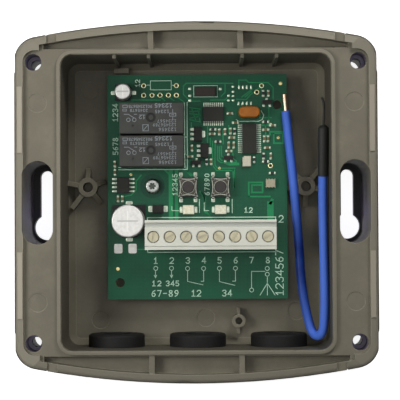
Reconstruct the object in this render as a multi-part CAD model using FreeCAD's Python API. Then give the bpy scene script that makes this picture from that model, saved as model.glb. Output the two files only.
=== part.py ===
import math
import os

import FreeCAD, Part

# Frame: origin at the centre of the box's back face, +Z out of the open face, +Y towards the top edge.
# All lengths in millimetres.

# circuit board and the room round it
BOARD_WIDTH = 56.0
BOARD_HEIGHT = 70.0
BOARD_THICK = 1.6
BOARD_TOP_Z = 9.6
BOARD_SIDE_ROOM = 12.4
BOARD_TOP_ROOM = 4.05
WIRING_ROOM = 14.45

# inner tray
TRAY_WIDTH = BOARD_WIDTH + 2 * BOARD_SIDE_ROOM
TRAY_HEIGHT = BOARD_HEIGHT + BOARD_TOP_ROOM + WIRING_ROOM
TRAY_CORNER_R = 3.6
TRAY_FLOOR_Z = 2.5
TRAY_FLOOR_BEVEL = 2.0
TRAY_WALL = 1.9
BOARD_X = 0.2
BOARD_Y = TRAY_HEIGHT / 2 - BOARD_TOP_ROOM - BOARD_HEIGHT / 2

# box round the tray
TRAY_SIDE_MARGIN = 13.85
TRAY_END_MARGIN = 9.8
BOX_WIDTH = TRAY_WIDTH + 2 * TRAY_SIDE_MARGIN
BOX_HEIGHT = TRAY_HEIGHT + 2 * TRAY_END_MARGIN
BOX_DEPTH = 32.0
BOX_EDGE_ARC_R = 262.0
BOX_CORNER_R = 7.3
BOX_EDGE_ROUND = 1.3
CORNER_INSET = 0.3
CORNER_INSET_LENGTH = 15.25
LIP_WIDTH = 2.7
LIP_CORNER_R = 4.6
OUTER_WALL = 2.7
FLANGE_DROP = 1.6
FLANGE_Z = BOX_DEPTH - FLANGE_DROP
FLANGE_PLATE = 2.0
SEAM_INSET = 9.55
SEAM_X = BOX_WIDTH / 2 - SEAM_INSET
SEAM_WIDTH = 0.4
SEAM_DEEP = 0.4
LIP_NOTCH_WIDTH = 3.0
LIP_NOTCH_DEEP = 0.7

# tongue and ribs at the tray mouth
TONGUE_INSET = 0.15
TONGUE_WIDTH = 1.0
TONGUE_DROP = 0.5
TONGUE_TOP_Z = BOX_DEPTH - TONGUE_DROP
TONGUE_ROOT = 6.0
WALL_RIB_XS = (-24.4, -14.1, 14.0, 24.3)
WALL_RIB_WIDTH = 1.0
WALL_RIB_REACH = 1.1
WALL_RIB_DROP = 2.5
WALL_RIB_TOP_Z = BOX_DEPTH - WALL_RIB_DROP
WALL_CLIP_X = -23.6
WALL_CLIP_WIDTH = 4.6
WALL_CLIP_REACH = 1.6
WALL_CLIP_TOP_Z = 5.0

# crescent pockets beyond the top and bottom of the tray
CRESCENT_END_MARGIN = 8.75
CRESCENT_HALF_LENGTH = BOX_WIDTH / 2 - CRESCENT_END_MARGIN
CRESCENT_DEPTH = 4.5
CRESCENT_FLOOR_Z = BOX_DEPTH - CRESCENT_DEPTH
CRESCENT_GAP = 1.65
CRESCENT_FROM_Y = TRAY_HEIGHT / 2 + CRESCENT_GAP
CRESCENT_RIB_X = 13.4
CRESCENT_RIB_WIDTH = 1.6
CRESCENT_RIB_DROP = 1.0
CRESCENT_RIB_ROOT = 0.5

# cores from the back that keep the walls even
BACK_CORE_END_MARGIN = 14.25
BACK_CORE_HALF_LENGTH = BOX_WIDTH / 2 - BACK_CORE_END_MARGIN
BACK_CORE_PLATE = 2.0
BACK_CORE_CORNER_R = 1.2
SIDE_CORE_WALL = 2.7

# keyhole pockets in the side flanges
KEY_INSET = 6.85
KEY_X = BOX_WIDTH / 2 - KEY_INSET
KEY_POCKET_WIDTH = 9.1
KEY_POCKET_LENGTH = 25.0
KEY_LEDGE_Z = 3.2
KEY_HEAD_R = 3.95
KEY_HEAD_Y = -7.3
KEY_SLOT_WIDTH = 4.0
KEY_SLOT_END_Y = 8.6

# lid screw bores in the four corners
LID_BORE_INSET_X = 5.65
LID_BORE_INSET_Y = 12.05
LID_BORE_X = BOX_WIDTH / 2 - LID_BORE_INSET_X
LID_BORE_Y = BOX_HEIGHT / 2 - LID_BORE_INSET_Y
LID_BORE_R = 2.5
LID_BORE_DEPTH = 8.0
LID_BORE_STEP_Z = FLANGE_Z - LID_BORE_DEPTH
LID_THREAD_R = 1.5
LID_THREAD_LENGTH = 3.0
LID_BACK_BORE_R = 3.0
LID_BACK_BORE_TOP_Z = LID_BORE_STEP_Z - LID_THREAD_LENGTH
LID_ROOM_R = 3.4
CORNER_PAD_SIDE = 12.0
CORNER_PAD_IN = 1.9
LIP_PAD_INSET = 0.95
LIP_PAD_WIDTH = 1.55
LIP_PAD_RISE = 0.35
LIP_PAD_LENGTH = 19.8
LIP_PAD_BORE_GAP = 7.4
SIDE_CORE_FROM_Y = KEY_POCKET_LENGTH / 2 + SIDE_CORE_WALL
SIDE_CORE_TO_Y = LID_BORE_Y - LID_BORE_R - SIDE_CORE_WALL

# bosses and posts on the tray floor
SIDE_BOSS_FROM_WALL = 6.3
SIDE_BOSS_X = TRAY_WIDTH / 2 - SIDE_BOSS_FROM_WALL
SIDE_BOSS_Y = 5.2
SIDE_BOSS_R = 3.0
SIDE_BOSS_HOLE_R = 1.55
SIDE_BOSS_TOP_Z = 8.0
SIDE_BOSS_RIB_WIDTH = 1.5
SIDE_BOSS_RIB_DROP = 0.3
SIDE_BOSS_LONG_RIB_Z = 7.2
SIDE_BOSS_SHORT_RIB_Z = 4.6
SIDE_BOSS_LONG_RIBS = ((168.0, 7.8), (232.0, 8.3))
SIDE_BOSS_SHORT_RIBS = ((20.0, 5.8), (90.0, 6.2), (310.0, 6.4))
LOW_BOSS_X = 12.9
LOW_BOSS_FROM_WALL = 7.45
LOW_BOSS_Y = LOW_BOSS_FROM_WALL - TRAY_HEIGHT / 2
LOW_BOSS_R = 2.1
LOW_BOSS_HOLE_R = 1.1
LOW_BOSS_TOP_Z = 7.0
LOW_BOSS_RIB_REACH = 4.0
LOW_BOSS_RIB_WIDTH = 0.9
POST_R = 2.6
POST_INSET_X = 3.4
POST_INSET_Y = 3.8
LOW_LEFT_POST_INSET = 12.8
PILOT_R = 1.3
PILOT_BOTTOM_Z = 3.4
EJECTOR_R = 2.8
EJECTOR_DEPTH = 0.15
FLOOR_EJECTORS = ((-33.6, 36.0), (-30.6, -36.5), (2.6, -36.0), (31.3, -34.0))
FLANGE_EJECTOR_Y = 29.8

# cable grommets
GROMMET_PITCH = 25.1
GROMMET_X = 0.1
GROMMET_R = 8.7
GROMMET_FLOOR_GAP = 0.1
GROMMET_Z = TRAY_FLOOR_Z + GROMMET_FLOOR_GAP + GROMMET_R
GROMMET_SEAT_GAP = 0.05
GROMMET_FLANGE = 4.0
GROMMET_NECK_R = 6.6
GROMMET_WALL_HOLE_R = 6.65
GROMMET_BEAD_R = 7.8
GROMMET_BEAD = 1.4
GROMMET_NOSE_R = 3.4
GROMMET_NOSE = 2.6
GROMMET_RECESS_R = 4.7
GROMMET_RECESS_DEPTH = 4.8
GROMMET_STEP_R = 3.3
GROMMET_STEP_DEPTH = 6.2
GROMMET_ROUND = 0.9
CABLE_EXIT_R = 6.5

# holes in the board and the solder under the parts
SOLDER_FILM = 0.05
BOARD_HOLE_R = 1.4
BOARD_PLAIN_HOLES = ((25.05, 25.4), (-24.2, -29.8))
BOARD_PLATED_R = 0.4
BOARD_PLATED_HOLES = (
    (-16.6, 31.6),
    (-6.4, 31.6),
    (-16.6, 28.6),
    (-14.0, 28.6),
    (-11.5, 28.6),
    (-8.9, 28.6),
    (-6.4, 28.6),
    (20.2, 31.4),
    (18.7, 29.4),
    (22.8, 6.4),
)

# board screw
SCREW_U = -14.0
SCREW_V = 0.2
SCREW_HEAD_R = 2.35
SCREW_HEAD_HIGH = 1.9
SCREW_HEAD_ROUND = 0.8
SCREW_SHANK_R = 1.25
SCREW_REACH = 5.6
SCREW_HOLE_R = 1.6
LOBE_CIRCLE_R = 0.8
LOBE_R = 0.3
LOBE_DEPTH = 1.2

# terminal block
WAYS = 8
WAY_PITCH = 5.0
TERMINAL_U = 4.05
TERMINAL_V = -15.0
TERMINAL_END = 0.1
TERMINAL_LENGTH = WAYS * WAY_PITCH + 2 * TERMINAL_END
TERMINAL_DEPTH = 9.1
TERMINAL_HIGH = 10.6
TERMINAL_SCREW_DY = -0.6
TERMINAL_GROOVE_FROM = 0.8
TERMINAL_GROOVE_WIDTH = 1.5
TERMINAL_GROOVE_DEEP = 0.8
TERMINAL_LINE_FROM_FRONT = 1.0
TERMINAL_LINE_WIDTH = 0.3
TERMINAL_LINE_DEEP = 0.4
CELL_WIDTH = 4.4
CELL_DEPTH = 5.2
CELL_TOP = 7.6
HEAD_HOLE_R = 1.85
HEAD_FLOOR = 8.4
WEB_HOLE_R = 1.35
WIRE_ENTRY_WIDTH = 3.0
WIRE_ENTRY_FROM = 1.0
WIRE_ENTRY_TO = 3.2
WIRE_FUNNEL = 0.3
WIRE_FUNNEL_DEEP = 0.5
CLAMP_HEAD_R = 1.75
CLAMP_HEAD_TOP = 9.9
CLAMP_SHANK_R = 1.25
CLAMP_SHANK_TIP = 4.2
CLAMP_SLOT_WIDTH = 0.6
CLAMP_SLOT_DEEP = 0.8
CLAMP_SLOT_ANGLES = (84.0, 35.0, 58.0, 20.0, 140.0, 62.0, 112.0, 36.0)
CAGE_WIDTH = 4.0
CAGE_DEPTH = 4.6
CAGE_BOTTOM = 0.6
CAGE_FLOOR = 0.7
CAGE_TOP = 5.6
CAGE_WINDOW_TOP = 4.4
CAGE_WINDOW_WIDTH = 2.6
CAGE_HOLE_R = 1.3
BAR_WIDTH = 2.2
BAR_BOTTOM = 3.2
BAR_TOP = 4.0
BAR_FRONT_DY = -2.2
BAR_BACK_DY = 3.8
PIN_WIDTH = 0.8
PIN_THICK = 0.6
PIN_BELOW_BOARD = 1.2
PIN_HOLE_R = 0.65

# relays
RELAY_U = -13.9
RELAY_VS = (20.7, 10.65)
RELAY_LENGTH = 19.8
RELAY_WIDTH = 9.5
RELAY_HIGH = 10.4
RELAY_WALL = 0.7
RELAY_COVER_LIFT = 0.3
RELAY_BASE_TOP = 2.0
RELAY_BASE_GAP = 0.05
RELAY_ROUND = 0.4
RELAY_RING_AT = (-0.1, 0.2)
RELAY_RING_OUTER_R = 1.4
RELAY_RING_INNER_R = 0.75
RELAY_RING_DEEP = 0.25
RELAY_GATE_AT = (-5.6, -2.3)
RELAY_GATE_R = 0.35
RELAY_GATE_DEEP = 0.3
COIL_AXIS_HIGH = 5.4
COIL_FROM = -7.5
COIL_TO = 2.4
COIL_R = 2.7
COIL_FLANGE = 0.8
COIL_FLANGE_HALF = 2.95
CORE_R = 1.2
YOKE_THICK = 0.9
YOKE_HALF_WIDTH = 2.5
YOKE_TOP = 9.4
YOKE_END = 3.4
POLE_R = 2.0
POLE_FACE = 3.2
ARMATURE_FROM = 3.6
ARMATURE_THICK = 0.8
ARMATURE_BOTTOM = 4.7
BLADE_FROM = 5.0
BLADE_THICK = 0.2
BLADE_HALF_WIDTH = 1.0
BLADE_BOTTOM = 3.0
BLADE_TOP = 7.6
BLADE_BLOCK_BOTTOM = 6.0
BLADE_BLOCK_HALF_WIDTH = 1.2
CONTACT_HIGH = 3.6
CONTACT_R = 0.6
CONTACT_PROUD = 0.2
FIXED_CONTACT_R = 0.55
FIXED_CONTACT_PROUD = 0.4
FIXED_POST_WIDTH = 1.6
FIXED_POST_THICK = 0.3
FIXED_POST_TOP = CONTACT_HIGH + CONTACT_R
MAKE_POST_AT = 3.65
REST_POST_AT = 5.9
RELAY_PIN_R = 0.4
RELAY_PIN_HOLE_R = 0.55
RELAY_PINS = ((-8.0, 2.6), (-8.0, -2.6), (3.8, 0.0), (6.05, 0.0), (8.4, 0.0))

# electrolytic capacitors
LARGE_CAP_R = 5.0
LARGE_CAP_HIGH = 10.2
LARGE_CAP_BASE = 10.3
LARGE_CAP_TERMINAL_GAP = 0.1
LARGE_CAP_V = -10.7
LARGE_CAP_U = TERMINAL_U - TERMINAL_LENGTH / 2 - LARGE_CAP_TERMINAL_GAP - LARGE_CAP_BASE / 2
LARGE_CAP = (LARGE_CAP_U, LARGE_CAP_V)
SMALL_CAP = (-22.9, 29.4)
SMALL_CAP_R = 2.5
SMALL_CAP_HIGH = 5.4
SMALL_CAP_BASE = 5.3
CAP_BASE_HIGH = 0.9
LARGE_CAP_CHAMFER = 2.9
SMALL_CAP_CHAMFER = 1.3
CAP_CAN_ROUND = 0.5
CAP_CRIMP_DEPTH = 0.25
CAP_CRIMP_FROM = 1.9
CAP_CRIMP_TO = 2.5
LARGE_CAP_LEAD_WIDTH = 1.4
LARGE_CAP_LEAD_REACH = 0.9
SMALL_CAP_LEAD_WIDTH = 0.8
SMALL_CAP_LEAD_REACH = 0.9
CAP_LEAD_THICK = 0.3

# push buttons
SWITCH_US = (-2.85, 7.15)
SWITCH_V = -0.2
SWITCH_SIDE = 6.0
SWITCH_BODY_HIGH = 3.1
SWITCH_CORNER_R = 0.4
SWITCH_POCKET_R = 2.1
SWITCH_POCKET_FLOOR = 1.0
SWITCH_COVER = 0.3
SWITCH_COVER_SCOOP_R = 9.0
SWITCH_COVER_SCOOP = 0.5
SWITCH_COVER_HOLE_R = 1.85
SWITCH_RIVET_R = 0.45
SWITCH_RIVET_AT = 2.35
SWITCH_RIVET_HIGH = 0.25
PLUNGER_R = 1.75
PLUNGER_TOP = 4.3
PLUNGER_COLLAR_R = 2.0
PLUNGER_COLLAR_FROM = 2.2
PLUNGER_COLLAR_TO = 3.0
PLUNGER_NUB_R = 0.8
PLUNGER_NUB_FROM = 1.55
DOME_R = 1.95
DOME_RISE = 0.45
DOME_THICK = 0.08
SWITCH_LEAD_DX = 2.25
SWITCH_LEAD_REACH = 1.3
SWITCH_LEAD_WIDTH = 0.7
SWITCH_LEAD_RISE = 0.9
SWITCH_LEAD_THICK = 0.25

# indicator lamps
LED_US = (-2.8, 7.2)
LED_V = -7.2
LED_LENGTH = 3.5
LED_WIDTH = 2.8
LED_HIGH = 1.9
LED_BOWL_R = 1.2
LED_BOWL_DEEP = 0.15

# chips: centre on the board, body size, lead count on each side
SO8_AT = (-23.1, 0.6)
SO8_BODY = (3.9, 4.9, 1.5)
SO8_PITCH = 1.27
SO8_LEAD_COUNT = 4
SO8_REACH = 1.05
SO8_LEAD_WIDTH = 0.42
TSSOP_REACH = 1.0
TSSOP_PITCH = 0.65
TSSOP_LEAD_WIDTH = 0.25
LOGIC_AT = (5.1, 22.6)
LOGIC_BODY = (6.5, 4.4, 1.0)
LOGIC_LEAD_COUNT = 10
RECEIVER_AT = (16.3, 14.9)
RECEIVER_BODY = (4.4, 9.7, 1.0)
RECEIVER_LEAD_COUNT = 14
CHIP_STANDOFF = 0.1
CHIP_CHAMFER = 0.12
LEAD_THICK = 0.15
PIN_MARK_R = 0.3
PIN_MARK_DEEP = 0.1

# small parts
RESONATOR_AT = (16.2, 22.9)
RESONATOR_SIZE = (6.6, 3.4, 5.0)
CRYSTAL_AT = (2.5, 29.6)
CRYSTAL_SIZE = (6.4, 2.9, 1.3)
FILTER_AT = (22.8, 0.9)
FILTER_SIZE = (3.0, 2.8, 1.1)
FILTER_NOTCH_R = 0.22
CREAM_PART_AT = (15.4, 7.8)
CREAM_PART_SIZE = (2.6, 3.2, 1.2)
CREAM_NOTCH = 0.8
DIODE_AT = (-12.3, -6.9)
DIODE_SIZE = (3.4, 2.6, 2.0)
DIODE_LEAD_REACH = 0.9
DIODE_LEAD_WIDTH = 1.4
SOT89_ATS = ((0.3, 16.4), (2.3, 11.2))
SOT89_SIZE = (2.5, 4.5, 1.5)
SOT89_PITCH = 1.5
SOT89_LEAD_REACH = 0.9
SOT89_LEAD_WIDTH = 0.45
SOT89_TAB_REACH = 0.6
SOT89_TAB_WIDTH = 1.6
SOT23_ATS = ((9.7, 8.9), (-0.3, 7.5), (21.8, 26.2))
SOT23_SIZE = (2.9, 1.3, 1.0)
SOT23_DX = 0.95
SOT23_REACH = 0.5
SOT23_LEAD_WIDTH = 0.4
PASSIVE_LENGTH = 1.6
PASSIVE_WIDTH = 0.8
PASSIVE_HIGH = 0.5
PASSIVES_ACROSS = (
    (4.9, 17.8),
    (4.7, 16.4),
    (6.5, 14.0),
    (10.3, 22.8),
    (10.8, 15.2),
    (21.9, 12.0),
    (23.4, 4.1),
)
PASSIVES_ALONG = (
    (6.9, 17.0),
    (8.7, 17.1),
    (10.4, 17.3),
    (-1.7, 12.0),
    (17.7, 8.3),
    (20.7, 9.4),
    (22.9, 9.4),
    (20.9, 14.8),
    (22.1, 14.8),
    (20.7, 29.0),
    (22.3, 29.0),
    (-24.8, -3.7),
    (-23.4, -3.7),
)

# antenna wire
WIRE_R = 1.4
WIRE_BORE_R = 0.72
CORE_WIRE_R = 0.7
SLEEVE_R = 1.62
SLEEVE_BORE_R = 1.42
SLEEVE_PAST_WIRE = 0.3
SLEEVE_CONE = 0.8
SLEEVE_CONE_TIP_R = 0.9
TAIL_R = 0.35
BEND_SHARE = 0.45
WIRE_COPPER_END = (27.4, 33.7, 11.1)
WIRE_ROUTE = (
    (27.8, 28.5, 11.1),
    (28.6, 19.6, 11.1),
    (29.6, 11.0, 11.3),
    (30.6, -0.5, 12.0),
    (31.6, -14.4, 13.0),
    (32.0, -23.4, 13.8),
    (33.0, -31.2, 14.8),
    (35.2, -41.0, 15.8),
    (38.3, -40.8, 19.2),
    (38.9, -33.5, 19.7),
    (38.9, -24.6, 19.5),
    (38.7, -12.4, 18.9),
    (38.6, 0.9, 18.4),
    (38.6, 7.9, 19.4),
)
SLEEVE_ROUTE = ((38.6, 7.9, 19.4), (38.7, 22.2, 21.4))
TAIL_ROUTE = ((38.7, 22.2, 21.4), (38.9, 27.6, 22.1), (38.8, 30.3, 22.4), (38.2, 31.8, 22.5))

UP = FreeCAD.Vector(0, 0, 1)
ORIGIN = FreeCAD.Vector(0, 0, 0)


def vec(x, y, z):
    return FreeCAD.Vector(x, y, z)


def block(x0, y0, z0, x1, y1, z1):
    return Part.makeBox(x1 - x0, y1 - y0, z1 - z0, vec(x0, y0, z0))


def brick(cx, cy, z0, width, depth, high):
    return Part.makeBox(width, depth, high, vec(cx - width / 2, cy - depth / 2, z0))


def disc(cx, cy, z0, radius, high):
    return Part.makeCylinder(radius, high, vec(cx, cy, z0))


def rod(x, y, z, radius, length, direction):
    return Part.makeCylinder(radius, length, vec(x, y, z), vec(*direction))


def fuse(shapes):
    return shapes[0].multiFuse(shapes[1:]).removeSplitter()


def cut(shape, tools):
    return shape.cut(tools).removeSplitter()


def upright_edges(shape):
    found = []
    for edge in shape.Edges:
        first, last = edge.Vertexes[0].Point, edge.Vertexes[-1].Point
        if abs(first.x - last.x) < 1e-6 and abs(first.y - last.y) < 1e-6:
            found.append(edge)
    return found


def edges_at(shape, z):
    return [e for e in shape.Edges if all(abs(v.Point.z - z) < 1e-6 for v in e.Vertexes)]


def rounded_brick(cx, cy, z0, width, depth, high, corner_r):
    shape = brick(cx, cy, z0, width, depth, high)
    return shape.makeFillet(corner_r, upright_edges(shape))


def cushion(width, height, arc_r, corner_r, z0, z1):
    """A plate with straight sides, bulging top and bottom edges and round corners."""
    plate = brick(0, 0, z0, width, height, z1 - z0)
    for side in (1, -1):
        plate = plate.common(disc(0, side * (height / 2 - arc_r), z0, arc_r, z1 - z0))
    return plate.makeFillet(corner_r, upright_edges(plate))


def stadium(cx, y0, y1, radius, z0, z1):
    ends = [disc(cx, y, z0, radius, z1 - z0) for y in (y0, y1)]
    return fuse([block(cx - radius, y0, z0, cx + radius, y1, z1)] + ends)


def turned(shape, cx, cy, angle):
    shape.rotate(vec(cx, cy, 0), UP, angle)
    return shape


def prism(points, start, along):
    """Extrude a closed polygon of points from start by the vector along."""
    corners = [start + vec(*p) for p in points]
    return Part.Face(Part.makePolygon(corners + [corners[0]])).extrude(along)


def save(name, *shapes):
    shape = shapes[0] if len(shapes) == 1 else Part.makeCompound(list(shapes))
    shape.exportStep("parts/" + name + ".step")


def board_xy(place):
    return BOARD_X + place[0], BOARD_Y + place[1]


def make_box():
    body = cushion(BOX_WIDTH, BOX_HEIGHT, BOX_EDGE_ARC_R, BOX_CORNER_R, 0, BOX_DEPTH)
    body = body.makeFillet(BOX_EDGE_ROUND, edges_at(body, BOX_DEPTH))
    inner_w = BOX_WIDTH - 2 * LIP_WIDTH
    inner_h = BOX_HEIGHT - 2 * LIP_WIDTH
    inner_arc = BOX_EDGE_ARC_R - LIP_WIDTH
    half_w = BOX_WIDTH / 2

    # lowered flange inside the lip; the lip fills each corner up to a round wall beside the bore
    lowered = cushion(inner_w, inner_h, inner_arc, LIP_CORNER_R, FLANGE_Z, BOX_DEPTH + 1)
    pads = []
    for sx in (1, -1):
        for sy in (1, -1):
            half = CORNER_PAD_SIDE / 2
            x = sx * (LID_BORE_X - CORNER_PAD_IN + half)
            y = sy * (LID_BORE_Y + LID_ROOM_R + half)
            pads.append(brick(x, y, FLANGE_Z, CORNER_PAD_SIDE, CORNER_PAD_SIDE, 3))
            x = half_w - LIP_WIDTH - LID_ROOM_R
            corner = brick(sx * (x + half), sy * (LID_BORE_Y + half), FLANGE_Z, CORNER_PAD_SIDE, CORNER_PAD_SIDE, 3)
            pads.append(corner.cut(disc(sx * x, sy * LID_BORE_Y, FLANGE_Z, LID_ROOM_R, 3)))
    tools = [lowered.cut(pads)]

    # crescents above and below the tray
    for side in (1, -1):
        half = CRESCENT_HALF_LENGTH
        limit = block(-half, CRESCENT_FROM_Y, CRESCENT_FLOOR_Z, half, BOX_HEIGHT, BOX_DEPTH + 2)
        if side < 0:
            limit.rotate(ORIGIN, UP, 180)
        region = cushion(inner_w, inner_h, inner_arc, LIP_CORNER_R, CRESCENT_FLOOR_Z, BOX_DEPTH + 1)
        tools.append(region.common(limit))
    body = cut(body, tools)
    extras = []
    for sx in (1, -1):
        for sy in (1, -1):
            lip_y = BOX_HEIGHT / 2 - LIP_WIDTH
            y = sy * (CRESCENT_FROM_Y + lip_y) / 2
            long = lip_y - CRESCENT_FROM_Y + 2 * CRESCENT_RIB_ROOT
            foot = CRESCENT_FLOOR_Z - CRESCENT_RIB_ROOT
            high = BOX_DEPTH - CRESCENT_RIB_DROP - foot
            extras.append(brick(sx * CRESCENT_RIB_X, y, foot, CRESCENT_RIB_WIDTH, long, high))

    # sealing tongue round the tray mouth
    outer = 2 * (TONGUE_INSET + TONGUE_WIDTH)
    extras.append(
        rounded_brick(
            0,
            0,
            FLANGE_Z - TONGUE_ROOT,
            TRAY_WIDTH + outer,
            TRAY_HEIGHT + outer,
            TONGUE_TOP_Z - FLANGE_Z + TONGUE_ROOT,
            TRAY_CORNER_R + outer / 2,
        )
    )
    for sx in (1, -1):
        for sy in (1, -1):
            cx = sx * (half_w - LIP_PAD_INSET - LIP_PAD_WIDTH / 2)
            cy = sy * (LID_BORE_Y - LIP_PAD_BORE_GAP - LIP_PAD_LENGTH / 2)
            extras.append(brick(cx, cy, BOX_DEPTH - 0.5, LIP_PAD_WIDTH, LIP_PAD_LENGTH, LIP_PAD_RISE + 0.5))
    body = fuse([body] + extras)

    # tray
    deep = BOX_DEPTH + 2 - TRAY_FLOOR_Z
    tray = rounded_brick(0, 0, TRAY_FLOOR_Z, TRAY_WIDTH, TRAY_HEIGHT, deep, TRAY_CORNER_R)
    tray = tray.makeChamfer(TRAY_FLOOR_BEVEL, edges_at(tray, TRAY_FLOOR_Z))
    inset_w = TRAY_WIDTH + 2 * TONGUE_INSET
    inset_h = TRAY_HEIGHT + 2 * TONGUE_INSET
    mouth = rounded_brick(0, 0, FLANGE_Z, inset_w, inset_h, 3, TRAY_CORNER_R + TONGUE_INSET)
    tools = [tray, mouth]

    # keyhole pockets, lid screw bores, cores from the back
    for sx in (1, -1):
        reach = KEY_POCKET_LENGTH / 2 - KEY_POCKET_WIDTH / 2
        tools.append(stadium(sx * KEY_X, -reach, reach, KEY_POCKET_WIDTH / 2, KEY_LEDGE_Z, BOX_DEPTH + 1))
        tools.append(disc(sx * KEY_X, KEY_HEAD_Y, -1, KEY_HEAD_R, KEY_LEDGE_Z + 2))
        tools.append(stadium(sx * KEY_X, KEY_HEAD_Y, KEY_SLOT_END_Y, KEY_SLOT_WIDTH / 2, -1, KEY_LEDGE_Z + 1))
        for sy in (1, -1):
            x, y = sx * LID_BORE_X, sy * LID_BORE_Y
            tools.append(disc(x, y, LID_BORE_STEP_Z, LID_BORE_R, BOX_DEPTH))
            tools.append(disc(x, y, 0, LID_THREAD_R, BOX_DEPTH))
            tools.append(disc(x, y, -1, LID_BACK_BORE_R, LID_BACK_BORE_TOP_Z + 1))
            core_w = half_w - OUTER_WALL - TRAY_WIDTH / 2 - TRAY_WALL
            core_l = SIDE_CORE_TO_Y - SIDE_CORE_FROM_Y
            cx = sx * (half_w - OUTER_WALL - core_w / 2)
            cy = sy * (SIDE_CORE_FROM_Y + SIDE_CORE_TO_Y) / 2
            high = FLANGE_Z - FLANGE_PLATE + 1
            tools.append(rounded_brick(cx, cy, -1, core_w, core_l, high, BACK_CORE_CORNER_R))
    core_top = CRESCENT_FLOOR_Z - BACK_CORE_PLATE
    for side in (1, -1):
        room = cushion(
            BOX_WIDTH - 2 * OUTER_WALL,
            BOX_HEIGHT - 2 * OUTER_WALL,
            BOX_EDGE_ARC_R - OUTER_WALL,
            LIP_CORNER_R,
            -1,
            core_top,
        )
        inner_y = TRAY_HEIGHT / 2 + TRAY_WALL
        limit = block(-BACK_CORE_HALF_LENGTH, inner_y, -1, BACK_CORE_HALF_LENGTH, BOX_HEIGHT, core_top)
        reach = BOX_HEIGHT / 2 - inner_y
        ribs = []
        for sx in (1, -1):
            x, y = sx * CRESCENT_RIB_X, inner_y + reach / 2
            ribs.append(brick(x, y, -2, CRESCENT_RIB_WIDTH, reach + 2, BOX_DEPTH + 2))
        core = room.common(limit).cut(ribs)
        if side < 0:
            core.rotate(ORIGIN, UP, 180)
        tools.append(core)

    # cable ways through the lower walls
    wall_y = -TRAY_HEIGHT / 2
    seat_r = GROMMET_R + GROMMET_SEAT_GAP
    for i in (-1, 0, 1):
        x = GROMMET_X + i * GROMMET_PITCH
        tools.append(rod(x, wall_y + GROMMET_FLANGE + 1, GROMMET_Z, seat_r, GROMMET_FLANGE + 1, (0, -1, 0)))
        tools.append(rod(x, wall_y + 2, GROMMET_Z, GROMMET_WALL_HOLE_R, 3 + TRAY_WALL, (0, -1, 0)))
        tools.append(rod(x, wall_y - TRAY_WALL - 1, GROMMET_Z, CABLE_EXIT_R, TRAY_END_MARGIN + 2, (0, -1, 0)))

    # corners of the sides stand back a little, with a seam in the top and bottom walls and a notch in the lip
    seam_y = BOX_HEIGHT / 2 - BOX_EDGE_ARC_R + math.sqrt(BOX_EDGE_ARC_R**2 - SEAM_X**2)
    notch_x = SEAM_X - SEAM_WIDTH / 2 - LIP_NOTCH_WIDTH / 2
    for sx in (1, -1):
        for sy in (1, -1):
            x = sx * (half_w - CORNER_INSET + 1)
            y = sy * (BOX_HEIGHT / 2 - CORNER_INSET_LENGTH / 2)
            tools.append(brick(x, y, -1, 2, CORNER_INSET_LENGTH, BOX_DEPTH + 2))
            tools.append(brick(sx * SEAM_X, sy * seam_y, -1, SEAM_WIDTH, 2 * SEAM_DEEP, BOX_DEPTH + 2))
            y = sy * (seam_y - LIP_WIDTH / 2)
            long = LIP_WIDTH + 2
            tools.append(brick(sx * notch_x, y, BOX_DEPTH - LIP_NOTCH_DEEP, LIP_NOTCH_WIDTH, long, 1))
    body = cut(body, tools)
    return add_tray_details(body)


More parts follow.
